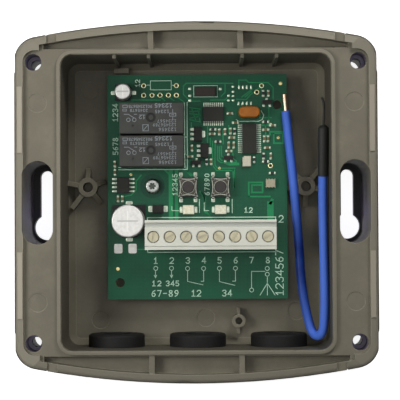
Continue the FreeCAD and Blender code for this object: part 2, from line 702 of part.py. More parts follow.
def add_tray_details(body):
    extras = []
    tools = []
    base_z = TRAY_FLOOR_Z - 0.5
    for x in WALL_RIB_XS:
        high = WALL_RIB_TOP_Z - base_z
        y = TRAY_HEIGHT / 2 - WALL_RIB_REACH / 2 + 0.2
        extras.append(brick(x, y, base_z, WALL_RIB_WIDTH, WALL_RIB_REACH + 0.4, high))
    y = TRAY_HEIGHT / 2 - WALL_CLIP_REACH / 2 - 1.5
    extras.append(brick(WALL_CLIP_X, y, base_z, WALL_CLIP_WIDTH, WALL_CLIP_REACH, WALL_CLIP_TOP_Z - base_z))

    # star bosses at the sides
    for side in (1, -1):
        x = side * SIDE_BOSS_X
        extras.append(disc(x, SIDE_BOSS_Y, base_z, SIDE_BOSS_R, SIDE_BOSS_TOP_Z - base_z))
        tools.append(disc(x, SIDE_BOSS_Y, TRAY_FLOOR_Z, SIDE_BOSS_HOLE_R, SIDE_BOSS_TOP_Z))
        rib_top = SIDE_BOSS_TOP_Z - SIDE_BOSS_RIB_DROP
        half = SIDE_BOSS_RIB_WIDTH / 2
        for ribs, end_z in ((SIDE_BOSS_LONG_RIBS, SIDE_BOSS_LONG_RIB_Z), (SIDE_BOSS_SHORT_RIBS, SIDE_BOSS_SHORT_RIB_Z)):
            for angle, reach in ribs:
                profile = (
                    (0, -half, base_z),
                    (reach, -half, base_z),
                    (reach, -half, end_z),
                    (SIDE_BOSS_R, -half, rib_top),
                    (0, -half, rib_top),
                )
                rib = prism(profile, vec(x, SIDE_BOSS_Y, 0), vec(0, SIDE_BOSS_RIB_WIDTH, 0))
                extras.append(turned(rib, x, SIDE_BOSS_Y, angle if side < 0 else angle + 180))

    # small boss near the grommets
    extras.append(disc(LOW_BOSS_X, LOW_BOSS_Y, base_z, LOW_BOSS_R, LOW_BOSS_TOP_Z - base_z))
    tools.append(disc(LOW_BOSS_X, LOW_BOSS_Y, TRAY_FLOOR_Z, LOW_BOSS_HOLE_R, LOW_BOSS_TOP_Z))
    length = 2 * LOW_BOSS_RIB_REACH
    extras.append(brick(LOW_BOSS_X, LOW_BOSS_Y, base_z, LOW_BOSS_RIB_WIDTH, length, LOW_BOSS_TOP_Z - base_z - 1.4))

    # posts that carry the board
    post_top = BOARD_TOP_Z - BOARD_THICK
    right = BOARD_X + BOARD_WIDTH / 2 - POST_INSET_X
    left = BOARD_X - BOARD_WIDTH / 2 + POST_INSET_X
    low_left = BOARD_X - BOARD_WIDTH / 2 + LOW_LEFT_POST_INSET
    high_y = BOARD_Y + BOARD_HEIGHT / 2 - POST_INSET_Y
    low_y = BOARD_Y - BOARD_HEIGHT / 2 + POST_INSET_Y
    for x, y in ((left, high_y), (right, high_y), (right, low_y), (low_left, low_y)):
        extras.append(disc(x, y, base_z, POST_R, post_top - base_z))
    x, y = board_xy((SCREW_U, SCREW_V))
    extras.append(disc(x, y, base_z, POST_R + 0.4, post_top - base_z))
    tools.append(disc(x, y, PILOT_BOTTOM_Z, PILOT_R, post_top))

    # faint ejector pin marks
    for x, y in FLOOR_EJECTORS:
        tools.append(disc(x, y, TRAY_FLOOR_Z - EJECTOR_DEPTH, EJECTOR_R, EJECTOR_DEPTH))
    for sx in (1, -1):
        for sy in (1, -1):
            x, y = sx * KEY_X, sy * FLANGE_EJECTOR_Y
            tools.append(disc(x, y, FLANGE_Z - EJECTOR_DEPTH, EJECTOR_R, 1))
    return cut(fuse([body] + extras), tools)


def make_grommet(x):
    """Rubber grommet on the Y axis: flange in the tray, neck in the wall, bead and closed nose outside."""
    wall_y = -TRAY_HEIGHT / 2
    face_y = wall_y + GROMMET_FLANGE
    flange = rod(x, face_y, GROMMET_Z, GROMMET_R, GROMMET_FLANGE, (0, -1, 0))
    flange = flange.makeFillet(GROMMET_ROUND, [e for e in flange.Edges if abs(e.CenterOfMass.y - face_y) < 1e-6])
    neck = rod(x, wall_y + 0.2, GROMMET_Z, GROMMET_NECK_R, TRAY_WALL + 0.4, (0, -1, 0))
    bead_y = wall_y - TRAY_WALL - 0.05
    bead = Part.makeCone(GROMMET_BEAD_R, GROMMET_BEAD_R - 0.6, GROMMET_BEAD, vec(x, bead_y, GROMMET_Z), vec(0, -1, 0))
    nose = Part.makeCone(
        GROMMET_NOSE_R + 1.0, GROMMET_NOSE_R, GROMMET_NOSE, vec(x, bead_y - 0.5, GROMMET_Z), vec(0, -1, 0)
    )
    recess = rod(x, face_y + 0.1, GROMMET_Z, GROMMET_RECESS_R, GROMMET_RECESS_DEPTH, (0, -1, 0))
    step = rod(x, face_y + 0.1, GROMMET_Z, GROMMET_STEP_R, GROMMET_STEP_DEPTH, (0, -1, 0))
    return cut(fuse([flange, neck, bead, nose]), [recess, step])


def make_board():
    plate = brick(BOARD_X, BOARD_Y, BOARD_TOP_Z - BOARD_THICK, BOARD_WIDTH, BOARD_HEIGHT, BOARD_THICK)
    holes = [(place, BOARD_HOLE_R) for place in BOARD_PLAIN_HOLES]
    holes += [(place, BOARD_PLATED_R) for place in BOARD_PLATED_HOLES]
    holes.append(((SCREW_U, SCREW_V), SCREW_HOLE_R))
    for dx in way_offsets():
        pin_dy = TERMINAL_SCREW_DY + BAR_BACK_DY - PIN_THICK / 2
        holes.append(((TERMINAL_U + dx, TERMINAL_V + pin_dy), PIN_HOLE_R))
    for relay_v in RELAY_VS:
        for dx, dy in RELAY_PINS:
            holes.append(((RELAY_U + dx, relay_v + dy), RELAY_PIN_HOLE_R))
    tools = []
    for place, radius in holes:
        x, y = board_xy(place)
        tools.append(disc(x, y, BOARD_TOP_Z - BOARD_THICK - 1, radius, BOARD_THICK + 2))
    return cut(plate, tools)


def make_board_screw():
    x, y = board_xy((SCREW_U, SCREW_V))
    head = disc(x, y, BOARD_TOP_Z, SCREW_HEAD_R, SCREW_HEAD_HIGH)
    head = head.makeFillet(SCREW_HEAD_ROUND, edges_at(head, BOARD_TOP_Z + SCREW_HEAD_HIGH))
    length = SCREW_REACH
    shank = disc(x, y, BOARD_TOP_Z - length, SCREW_SHANK_R, length)
    floor_z = BOARD_TOP_Z + SCREW_HEAD_HIGH - LOBE_DEPTH
    tools = [disc(x, y, floor_z, LOBE_CIRCLE_R, 3)]
    for i in range(6):
        turn = math.radians(60 * i)
        lobe_x = x + LOBE_CIRCLE_R * math.cos(turn)
        lobe_y = y + LOBE_CIRCLE_R * math.sin(turn)
        tools.append(disc(lobe_x, lobe_y, floor_z, LOBE_R, 3))
    return cut(fuse([head, shank]), tools)


def way_offsets():
    return [(i - (WAYS - 1) / 2) * WAY_PITCH for i in range(WAYS)]


def make_terminal_housing():
    x0, y0 = board_xy((TERMINAL_U, TERMINAL_V))
    z0 = BOARD_TOP_Z
    body = brick(x0, y0, z0, TERMINAL_LENGTH, TERMINAL_DEPTH, TERMINAL_HIGH)
    top = z0 + TERMINAL_HIGH
    back = y0 + TERMINAL_DEPTH / 2
    front = y0 - TERMINAL_DEPTH / 2
    groove_y = back - TERMINAL_GROOVE_FROM - TERMINAL_GROOVE_WIDTH / 2
    line_y = front + TERMINAL_LINE_FROM_FRONT
    tools = [
        brick(x0, groove_y, top - TERMINAL_GROOVE_DEEP, TERMINAL_LENGTH + 2, TERMINAL_GROOVE_WIDTH, 3),
        brick(x0, line_y, top - TERMINAL_LINE_DEEP, TERMINAL_LENGTH + 2, TERMINAL_LINE_WIDTH, 3),
    ]
    screw_y = y0 + TERMINAL_SCREW_DY
    for dx in way_offsets():
        x = x0 + dx
        tools.append(brick(x, screw_y, z0 - 1, CELL_WIDTH, CELL_DEPTH, CELL_TOP + 1))
        tools.append(disc(x, screw_y, z0 + HEAD_FLOOR, HEAD_HOLE_R, TERMINAL_HIGH))
        tools.append(disc(x, screw_y, z0, WEB_HOLE_R, TERMINAL_HIGH))
        entry_high = WIRE_ENTRY_TO - WIRE_ENTRY_FROM
        tools.append(brick(x, front + 1, z0 + WIRE_ENTRY_FROM, WIRE_ENTRY_WIDTH, 4, entry_high))
        funnel_high = entry_high + 2 * WIRE_FUNNEL
        funnel_width = WIRE_ENTRY_WIDTH + 2 * WIRE_FUNNEL
        funnel_z = z0 + WIRE_ENTRY_FROM - WIRE_FUNNEL
        tools.append(brick(x, front, funnel_z, funnel_width, 2 * WIRE_FUNNEL_DEEP, funnel_high))
        cell_back = screw_y + CELL_DEPTH / 2
        bar_back = screw_y + BAR_BACK_DY
        half = BAR_WIDTH / 2 + 0.1
        tools.append(block(x - half, cell_back - 1, z0 - 1, x + half, bar_back, z0 + BAR_TOP))
    return cut(body, tools)


def make_terminal_screw(x, y, angle):
    z0 = BOARD_TOP_Z
    head = disc(x, y, z0 + HEAD_FLOOR, CLAMP_HEAD_R, CLAMP_HEAD_TOP - HEAD_FLOOR)
    head = head.makeChamfer(0.15, edges_at(head, z0 + CLAMP_HEAD_TOP))
    shank = disc(x, y, z0 + CLAMP_SHANK_TIP, CLAMP_SHANK_R, HEAD_FLOOR - CLAMP_SHANK_TIP)
    slot_z = z0 + CLAMP_HEAD_TOP - CLAMP_SLOT_DEEP
    slot = brick(x, y, slot_z, 2 * CLAMP_HEAD_R + 1, CLAMP_SLOT_WIDTH, CLAMP_SLOT_DEEP + 1)
    return cut(fuse([head, shank]), [turned(slot, x, y, angle)])


def make_terminal_clamp(x, y):
    z0 = BOARD_TOP_Z
    cage = brick(x, y, z0 + CAGE_BOTTOM, CAGE_WIDTH, CAGE_DEPTH, CAGE_TOP - CAGE_BOTTOM)
    window_from = CAGE_BOTTOM + CAGE_FLOOR
    window = brick(x, y, z0 + window_from, CAGE_WINDOW_WIDTH, CAGE_DEPTH + 2, CAGE_WINDOW_TOP - window_from)
    return cut(cage, [window, disc(x, y, z0 + CAGE_WINDOW_TOP - 0.1, CAGE_HOLE_R, 3)])


def make_terminal_pin(x, y):
    z0 = BOARD_TOP_Z
    half = BAR_WIDTH / 2
    bar = block(x - half, y + BAR_FRONT_DY, z0 + BAR_BOTTOM, x + half, y + BAR_BACK_DY, z0 + BAR_TOP)
    below = BOARD_THICK + PIN_BELOW_BOARD
    pin_y = y + BAR_BACK_DY - PIN_THICK / 2
    pin = brick(x, pin_y, z0 - below, PIN_WIDTH, PIN_THICK, BAR_TOP + below)
    return fuse([bar, pin])


def make_relay(name, place):
    x0, y0 = board_xy(place)
    z0 = BOARD_TOP_Z

    def at(shape):
        shape.translate(vec(x0, y0, z0))
        return shape

    inner_l = RELAY_LENGTH - 2 * RELAY_WALL
    inner_w = RELAY_WIDTH - 2 * RELAY_WALL
    top = RELAY_HIGH
    shell = rounded_brick(0, 0, RELAY_COVER_LIFT, RELAY_LENGTH, RELAY_WIDTH, top - RELAY_COVER_LIFT, RELAY_ROUND)
    shell = shell.makeFillet(RELAY_ROUND * 0.8, edges_at(shell, top))
    hollow = brick(0, 0, 0, inner_l, inner_w, top - RELAY_WALL)
    ring = disc(*RELAY_RING_AT, top - RELAY_RING_DEEP, RELAY_RING_OUTER_R, RELAY_RING_DEEP + 1)
    ring = ring.cut(disc(*RELAY_RING_AT, top - RELAY_RING_DEEP - 1, RELAY_RING_INNER_R, RELAY_RING_DEEP + 3))
    gate = disc(*RELAY_GATE_AT, top - RELAY_GATE_DEEP, RELAY_GATE_R, RELAY_GATE_DEEP + 1)
    save(name + "_cover", at(cut(shell, [hollow, ring, gate])))

    base_l = inner_l - 2 * RELAY_BASE_GAP
    base_w = inner_w - 2 * RELAY_BASE_GAP
    base = brick(0, 0, 0, base_l, base_w, RELAY_BASE_TOP)
    pins = []
    below = BOARD_THICK + PIN_BELOW_BOARD
    for dx, dy in RELAY_PINS:
        pins.append(disc(dx, dy, -below, RELAY_PIN_R, below + RELAY_BASE_TOP))
    save(name + "_base", at(cut(base, pins)))

    # coil: winding between two flanges on the core
    length = COIL_TO - COIL_FROM
    winding = rod(COIL_FROM, 0, COIL_AXIS_HIGH, COIL_R, length, (1, 0, 0))
    flanges = []
    for x in (COIL_FROM, COIL_TO - COIL_FLANGE):
        bottom = RELAY_BASE_TOP + 0.1
        y = COIL_FLANGE_HALF
        high = COIL_AXIS_HIGH + y
        flanges.append(block(x, -y, bottom, x + COIL_FLANGE, y, high))
    bore = rod(COIL_FROM - 1, 0, COIL_AXIS_HIGH, CORE_R, length + 2, (1, 0, 0))
    save(name + "_coil", at(cut(fuse([winding] + flanges), [bore])))

    # yoke: back plate, top leg, core and pole disc
    half = YOKE_HALF_WIDTH
    back_x = COIL_FROM - YOKE_THICK
    back = block(back_x, -half, RELAY_BASE_TOP, COIL_FROM, half, YOKE_TOP)
    leg = block(back_x, -half, YOKE_TOP - YOKE_THICK, YOKE_END, half, YOKE_TOP)
    core = rod(COIL_FROM - 0.1, 0, COIL_AXIS_HIGH, CORE_R, POLE_FACE - COIL_FROM, (1, 0, 0))
    pole = rod(COIL_TO, 0, COIL_AXIS_HIGH, POLE_R, POLE_FACE - COIL_TO, (1, 0, 0))
    save(name + "_yoke", at(fuse([back, leg, core, pole])))

    # armature with its contact blade and double contact
    plate_end = ARMATURE_FROM + ARMATURE_THICK
    plate = block(ARMATURE_FROM, -half, ARMATURE_BOTTOM, plate_end, half, YOKE_TOP)
    w = BLADE_BLOCK_HALF_WIDTH
    block_part = block(plate_end, -w, BLADE_BLOCK_BOTTOM, BLADE_FROM, w, BLADE_TOP)
    w = BLADE_HALF_WIDTH
    blade = block(BLADE_FROM, -w, BLADE_BOTTOM, BLADE_FROM + BLADE_THICK, w, BLADE_TOP)
    long = BLADE_THICK + 2 * CONTACT_PROUD
    button = rod(BLADE_FROM - CONTACT_PROUD, 0, CONTACT_HIGH, CONTACT_R, long, (1, 0, 0))
    save(name + "_armature", at(fuse([plate, block_part, blade, button])))

    # fixed contacts on their posts, coil pins, and the feed pin of the blade
    solids = []
    w = FIXED_POST_WIDTH / 2
    make_face = MAKE_POST_AT + FIXED_POST_THICK
    rest_face = REST_POST_AT - FIXED_CONTACT_PROUD
    for post_x, button_x, pin in ((MAKE_POST_AT, make_face, pins[2]), (REST_POST_AT, rest_face, pins[3])):
        post = block(post_x, -w, RELAY_BASE_TOP, post_x + FIXED_POST_THICK, w, FIXED_POST_TOP)
        button = rod(button_x, 0, CONTACT_HIGH, FIXED_CONTACT_R, FIXED_CONTACT_PROUD, (1, 0, 0))
        solids.append(fuse([post, button, pin.copy()]))
    solids += [pins[i].copy() for i in (0, 1, 4)]
    save(name + "_contacts", *[at(s) for s in solids])


def make_can(place, radius, high):
    x, y = board_xy(place)
    can = disc(x, y, BOARD_TOP_Z + CAP_BASE_HIGH, radius, high - CAP_BASE_HIGH)
    can = can.makeFillet(CAP_CAN_ROUND, edges_at(can, BOARD_TOP_Z + high))
    ring_z = BOARD_TOP_Z + CAP_CRIMP_FROM
    ring_high = CAP_CRIMP_TO - CAP_CRIMP_FROM
    ring = disc(x, y, ring_z, radius + 1, ring_high).cut(disc(x, y, ring_z, radius - CAP_CRIMP_DEPTH, ring_high))
    return cut(can, [ring])


def make_can_base(place, side, chamfered, chamfer):
    x, y = board_xy(place)
    base = brick(x, y, BOARD_TOP_Z + SOLDER_FILM, side, side, CAP_BASE_HIGH - SOLDER_FILM)
    edges = []
    for edge in upright_edges(base):
        point = edge.Vertexes[0].Point
        if (point.x - x) * chamfered[0] + (point.y - y) * chamfered[1] > side / 4:
            edges.append(edge)
    return base.makeChamfer(chamfer, edges)


def gull_lead(x, y, angle, reach, rise, width, thick):
    """A formed lead leaving a body face at x, y in the direction of angle, its foot on the board."""
    z0 = BOARD_TOP_Z + SOLDER_FILM
    half = width / 2
    knee = 0.3 * reach
    heel = 0.5 * reach
    profile = (
        (0, -half, rise),
        (knee, -half, rise),
        (heel, -half, thick),
        (reach, -half, thick),
        (reach, -half, 0),
        (heel - 0.6 * thick, -half, 0),
        (knee - 0.6 * thick, -half, rise - thick),
        (0, -half, rise - thick),
    )
    lead = prism(profile, vec(x, y, z0), vec(0, width, 0))
    return turned(lead, x, y, angle)


def flat_lead(x, y, angle, reach, width, thick):
    z0 = BOARD_TOP_Z + SOLDER_FILM
    lead = block(x, y - width / 2, z0, x + reach, y + width / 2, z0 + thick)
    return turned(lead, x, y, angle)


def chip(place, size, mark):
    x, y = board_xy(place)
    z0 = BOARD_TOP_Z + CHIP_STANDOFF
    body = brick(x, y, z0, *size)
    body = body.makeChamfer(CHIP_CHAMFER, edges_at(body, z0 + size[2]))
    pin_mark = disc(x + mark[0], y + mark[1], z0 + size[2] - PIN_MARK_DEEP, PIN_MARK_R, 1)
    return cut(body, [pin_mark])


def lead_row(place, size, count, pitch, reach, width, along_y):
    """Leads on two opposite sides: left and right when along_y, else bottom and top."""
    x0, y0 = board_xy(place)
    rise = CHIP_STANDOFF + size[2] * 0.5
    leads = []
    for i in range(count):
        step = (i - (count - 1) / 2) * pitch
        if along_y:
            leads.append(gull_lead(x0 + size[0] / 2, y0 + step, 0, reach, rise, width, LEAD_THICK))
            leads.append(gull_lead(x0 - size[0] / 2, y0 + step, 180, reach, rise, width, LEAD_THICK))
        else:
            leads.append(gull_lead(x0 + step, y0 + size[1] / 2, 90, reach, rise, width, LEAD_THICK))
            leads.append(gull_lead(x0 + step, y0 - size[1] / 2, 270, reach, rise, width, LEAD_THICK))
    return leads


def make_switch(name, place):
    x, y = board_xy(place)
    z0 = BOARD_TOP_Z + SOLDER_FILM
    body = rounded_brick(x, y, z0, SWITCH_SIDE, SWITCH_SIDE, SWITCH_BODY_HIGH, SWITCH_CORNER_R)
    pocket = disc(x, y, z0 + SWITCH_POCKET_FLOOR, SWITCH_POCKET_R, SWITCH_BODY_HIGH)
    save(name + "_body", cut(body, [pocket]))

    cover_z = z0 + SWITCH_BODY_HIGH
    cover = rounded_brick(x, y, cover_z, SWITCH_SIDE, SWITCH_SIDE, SWITCH_COVER, SWITCH_CORNER_R)
    scoops = []
    for i in range(4):
        centre = SWITCH_SIDE / 2 - SWITCH_COVER_SCOOP + SWITCH_COVER_SCOOP_R
        scoops.append(turned(disc(x + centre, y, cover_z - 1, SWITCH_COVER_SCOOP_R, 3), x, y, 90 * i))
    hole = disc(x, y, cover_z - 1, SWITCH_COVER_HOLE_R, 3)
    cover = cut(cover, scoops + [hole])
    rivets = []
    for sx in (1, -1):
        for sy in (1, -1):
            at_x, at_y = x + sx * SWITCH_RIVET_AT, y + sy * SWITCH_RIVET_AT
            rivets.append(disc(at_x, at_y, cover_z, SWITCH_RIVET_R, SWITCH_COVER + SWITCH_RIVET_HIGH))
    save(name + "_cover_plate", fuse([cover] + rivets))

    collar_high = PLUNGER_COLLAR_TO - PLUNGER_COLLAR_FROM
    stem = disc(x, y, z0 + PLUNGER_COLLAR_FROM, PLUNGER_R, PLUNGER_TOP - PLUNGER_COLLAR_FROM)
    stem = stem.makeFillet(0.15, edges_at(stem, z0 + PLUNGER_TOP))
    collar = disc(x, y, z0 + PLUNGER_COLLAR_FROM, PLUNGER_COLLAR_R, collar_high)
    nub_high = PLUNGER_COLLAR_FROM - PLUNGER_NUB_FROM
    nub = disc(x, y, z0 + PLUNGER_NUB_FROM, PLUNGER_NUB_R, nub_high)
    save(name + "_plunger", fuse([stem, collar, nub]))

    # snap dome: a shallow spherical cap on the pocket floor
    sphere_r = (DOME_R**2 + DOME_RISE**2) / (2 * DOME_RISE)
    floor_z = z0 + SWITCH_POCKET_FLOOR
    centre = vec(x, y, floor_z + DOME_RISE - sphere_r)
    shell = Part.makeSphere(sphere_r, centre).cut(Part.makeSphere(sphere_r - DOME_THICK, centre))
    keep = disc(x, y, floor_z, DOME_R + 0.1, DOME_RISE + 0.1)
    save(name + "_dome", shell.common(keep))


def switch_leads(place):
    x, y = board_xy(place)
    leads = []
    for dx in (SWITCH_LEAD_DX, -SWITCH_LEAD_DX):
        for side, angle in ((1, 90), (-1, 270)):
            leads.append(
                gull_lead(
                    x + dx,
                    y + side * SWITCH_SIDE / 2,
                    angle,
                    SWITCH_LEAD_REACH,
                    SWITCH_LEAD_RISE,
                    SWITCH_LEAD_WIDTH,
                    SWITCH_LEAD_THICK,
                )
            )
    return leads


def make_led(place):
    x, y = board_xy(place)
    z0 = BOARD_TOP_Z + SOLDER_FILM
    body = brick(x, y, z0, LED_LENGTH, LED_WIDTH, LED_HIGH)
    body = body.makeChamfer(0.15, edges_at(body, z0 + LED_HIGH))
    return cut(body, [disc(x, y, z0 + LED_HIGH - LED_BOWL_DEEP, LED_BOWL_R, 1)])


def plain_part(place, size):
    x, y = board_xy(place)
    z0 = BOARD_TOP_Z + SOLDER_FILM
    body = brick(x, y, z0, *size)
    return body.makeChamfer(min(size) * 0.08, edges_at(body, z0 + size[2]))


def make_small_parts():
    leads = []
    chips = (
        ("driver_chip", SO8_AT, SO8_BODY, (-1.3, 1.8)),
        ("logic_chip", LOGIC_AT, LOGIC_BODY, (-2.6, -1.5)),
        ("receiver_chip", RECEIVER_AT, RECEIVER_BODY, (-1.5, 4.2)),
    )
    for name, place, size, mark in chips:
        save(name, chip(place, size, mark))
    leads += lead_row(SO8_AT, SO8_BODY, SO8_LEAD_COUNT, SO8_PITCH, SO8_REACH, SO8_LEAD_WIDTH, True)
    leads += lead_row(LOGIC_AT, LOGIC_BODY, LOGIC_LEAD_COUNT, TSSOP_PITCH, TSSOP_REACH, TSSOP_LEAD_WIDTH, False)
    leads += lead_row(
        RECEIVER_AT, RECEIVER_BODY, RECEIVER_LEAD_COUNT, TSSOP_PITCH, TSSOP_REACH, TSSOP_LEAD_WIDTH, True
    )

    # resonator with round ends, crystal, filters
    x, y = board_xy(RESONATOR_AT)
    z0 = BOARD_TOP_Z + SOLDER_FILM
    resonator = rounded_brick(x, y, z0, *RESONATOR_SIZE, RESONATOR_SIZE[1] * 0.42)
    resonator = resonator.makeFillet(0.6, edges_at(resonator, z0 + RESONATOR_SIZE[2]))
    save("ceramic_resonator", resonator)
    save("crystal", plain_part(CRYSTAL_AT, CRYSTAL_SIZE))
    x, y = board_xy(FILTER_AT)
    notches = []
    for dx in (-0.9, 0.0, 0.9):
        for side in (1, -1):
            notches.append(disc(x + dx, y + side * FILTER_SIZE[1] / 2, z0 - 1, FILTER_NOTCH_R, 5))
    saw = cut(plain_part(FILTER_AT, FILTER_SIZE), notches)
    x, y = board_xy(CREAM_PART_AT)
    corner_x = x - CREAM_PART_SIZE[0] / 2
    corner_y = y + CREAM_PART_SIZE[1] / 2
    notch = brick(corner_x, corner_y, z0 - 1, CREAM_NOTCH, CREAM_NOTCH, 5)
    save("ceramic_filters", saw, cut(plain_part(CREAM_PART_AT, CREAM_PART_SIZE), [notch]))

    # diode, two power transistors, three small transistors
    bodies = [plain_part(DIODE_AT, DIODE_SIZE)]
    x, y = board_xy(DIODE_AT)
    for side, angle in ((1, 0), (-1, 180)):
        leads.append(
            flat_lead(x + side * DIODE_SIZE[0] / 2, y, angle, DIODE_LEAD_REACH, DIODE_LEAD_WIDTH, LEAD_THICK)
        )
    for place in SOT89_ATS:
        bodies.append(plain_part(place, SOT89_SIZE))
        x, y = board_xy(place)
        half = SOT89_SIZE[0] / 2
        for i in (-1, 0, 1):
            leads.append(
                flat_lead(
                    x - half, y + i * SOT89_PITCH, 180, SOT89_LEAD_REACH, SOT89_LEAD_WIDTH, CAP_LEAD_THICK
                )
            )
        leads.append(flat_lead(x + half, y, 0, SOT89_TAB_REACH, SOT89_TAB_WIDTH, CAP_LEAD_THICK))
    for place in SOT23_ATS:
        bodies.append(plain_part(place, SOT23_SIZE))
        x, y = board_xy(place)
        half = SOT23_SIZE[1] / 2
        for dx, side, angle in ((SOT23_DX, -1, 270), (-SOT23_DX, -1, 270), (0, 1, 90)):
            leads.append(
                gull_lead(x + dx, y + side * half, angle, SOT23_REACH, 0.55, SOT23_LEAD_WIDTH, LEAD_THICK)
            )
    save("small_semiconductors", *bodies)

    across = (PASSIVE_LENGTH, PASSIVE_WIDTH, PASSIVE_HIGH)
    along = (PASSIVE_WIDTH, PASSIVE_LENGTH, PASSIVE_HIGH)
    passives = [plain_part(place, across) for place in PASSIVES_ACROSS]
    passives += [plain_part(place, along) for place in PASSIVES_ALONG]
    save("chip_passives", *passives)

    # capacitor leads, switch leads, lamp leads
    x, y = board_xy(LARGE_CAP)
    for side, angle in ((1, 90), (-1, 270)):
        at_y = y + side * LARGE_CAP_BASE / 2
        leads.append(flat_lead(x, at_y, angle, LARGE_CAP_LEAD_REACH, LARGE_CAP_LEAD_WIDTH, CAP_LEAD_THICK))
    x, y = board_xy(SMALL_CAP)
    for side, angle in ((1, 0), (-1, 180)):
        at_x = x + side * SMALL_CAP_BASE / 2
        leads.append(flat_lead(at_x, y, angle, SMALL_CAP_LEAD_REACH, SMALL_CAP_LEAD_WIDTH, CAP_LEAD_THICK))
    for u in SWITCH_US:
        leads += switch_leads((u, SWITCH_V))
    for u in LED_US:
        x, y = board_xy((u, LED_V))
        for side, angle in ((1, 0), (-1, 180)):
            leads.append(flat_lead(x + side * LED_LENGTH / 2, y, angle, 0.25, 1.6, LEAD_THICK))
    save("chip_leads", *leads)


def bent_path(points, label):
    """Straight runs joined by tangent arcs; each radius comes from the shorter run beside the bend."""
    corners = [vec(*p) for p in points]
    edges = []
    start = corners[0]
    radii = []
    for i in range(1, len(corners) - 1):
        before = corners[i] - corners[i - 1]
        after = corners[i + 1] - corners[i]
        turn = before.getAngle(after)
        shorter = min(before.Length, after.Length)
        back_off = BEND_SHARE * shorter
        radii.append(back_off / math.tan(turn / 2))
        ahead, behind = FreeCAD.Vector(after), FreeCAD.Vector(before)
        ahead.normalize()
        behind.normalize()
        first = corners[i] - behind * back_off
        last = corners[i] + ahead * back_off
        bisector = ahead - behind
        bisector.normalize()
        apex_gap = radii[-1] / math.cos(turn / 2) - radii[-1]
        middle = corners[i] + bisector * apex_gap
        edges.append(Part.LineSegment(start, first).toShape())
        edges.append(Part.Arc(first, middle, last).toShape())
        start = last
    edges.append(Part.LineSegment(start, corners[-1]).toShape())
    wire = Part.Wire(edges)
    if radii:
        print(label, "length", round(wire.Length, 1), "radii", [round(r, 1) for r in radii])
    return wire


def tube(points, radius, label):
    path = bent_path(points, label)
    direction = vec(*points[1]) - vec(*points[0])
    ring = Part.Wire([Part.Circle(vec(*points[0]), direction, radius).toShape()])
    solid = path.makePipeShell([ring], True, False, 2)
    print(label, "volume share", round(solid.Volume / (math.pi * radius**2 * path.Length), 4))
    return solid


def make_antenna():
    insulation = WIRE_ROUTE + SLEEVE_ROUTE[1:]
    whole = (WIRE_COPPER_END,) + insulation
    outer = tube(insulation, WIRE_R, "insulation")
    bore = tube(insulation, WIRE_BORE_R, "insulation bore")
    save("antenna_wire", outer.cut(bore))
    save("antenna_core", tube(whole, CORE_WIRE_R, "core"))
    start, end = vec(*SLEEVE_ROUTE[0]), vec(*SLEEVE_ROUTE[1])
    along = end - start
    long = along.Length
    sleeve = Part.makeCylinder(SLEEVE_R, long + SLEEVE_PAST_WIRE, start, along)
    bore = Part.makeCylinder(SLEEVE_BORE_R, long + 0.05, start, along)
    unit = along * (1 / long)
    cone = Part.makeCone(SLEEVE_R, SLEEVE_CONE_TIP_R, SLEEVE_CONE, end + unit * SLEEVE_PAST_WIRE, along)
    tail = tube(TAIL_ROUTE, TAIL_R, "tail")
    body = cut(fuse([sleeve, cone]), [bore])
    save("antenna_sleeve", fuse([body, tail]).cut(bore))


def main():
    os.makedirs("parts", exist_ok=True)
    save("base_housing", make_box())
    for side, name in ((-1, "left"), (0, "middle"), (1, "right")):
        save("cable_grommet_" + name, make_grommet(GROMMET_X + side * GROMMET_PITCH))
    save("circuit_board", make_board())
    save("board_screw", make_board_screw())
    save("terminal_housing", make_terminal_housing())
    x0, y0 = board_xy((TERMINAL_U, TERMINAL_V))
    screw_y = y0 + TERMINAL_SCREW_DY
    pins = []
    for number, dx in enumerate(way_offsets(), start=1):
        angle = CLAMP_SLOT_ANGLES[number - 1]
        save("terminal_screw_" + str(number), make_terminal_screw(x0 + dx, screw_y, angle))
        save("terminal_clamp_" + str(number), make_terminal_clamp(x0 + dx, screw_y))
        pins.append(make_terminal_pin(x0 + dx, screw_y))
    save("terminal_pins", *pins)
    for number, v in enumerate(RELAY_VS, start=1):
        make_relay("relay_" + str(number), (RELAY_U, v))
    save("capacitor_can_large", make_can(LARGE_CAP, LARGE_CAP_R, LARGE_CAP_HIGH))
    save("capacitor_can_small", make_can(SMALL_CAP, SMALL_CAP_R, SMALL_CAP_HIGH))
    save(
        "capacitor_bases",
        make_can_base(LARGE_CAP, LARGE_CAP_BASE, (0, -1), LARGE_CAP_CHAMFER),
        make_can_base(SMALL_CAP, SMALL_CAP_BASE, (1, 0), SMALL_CAP_CHAMFER),
    )
    for number, u in enumerate(SWITCH_US, start=1):
        make_switch("switch_" + str(number), (u, SWITCH_V))
    save("indicator_leds", *[make_led((u, LED_V)) for u in LED_US])
    make_small_parts()
    make_antenna()


main()
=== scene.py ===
import math
import random

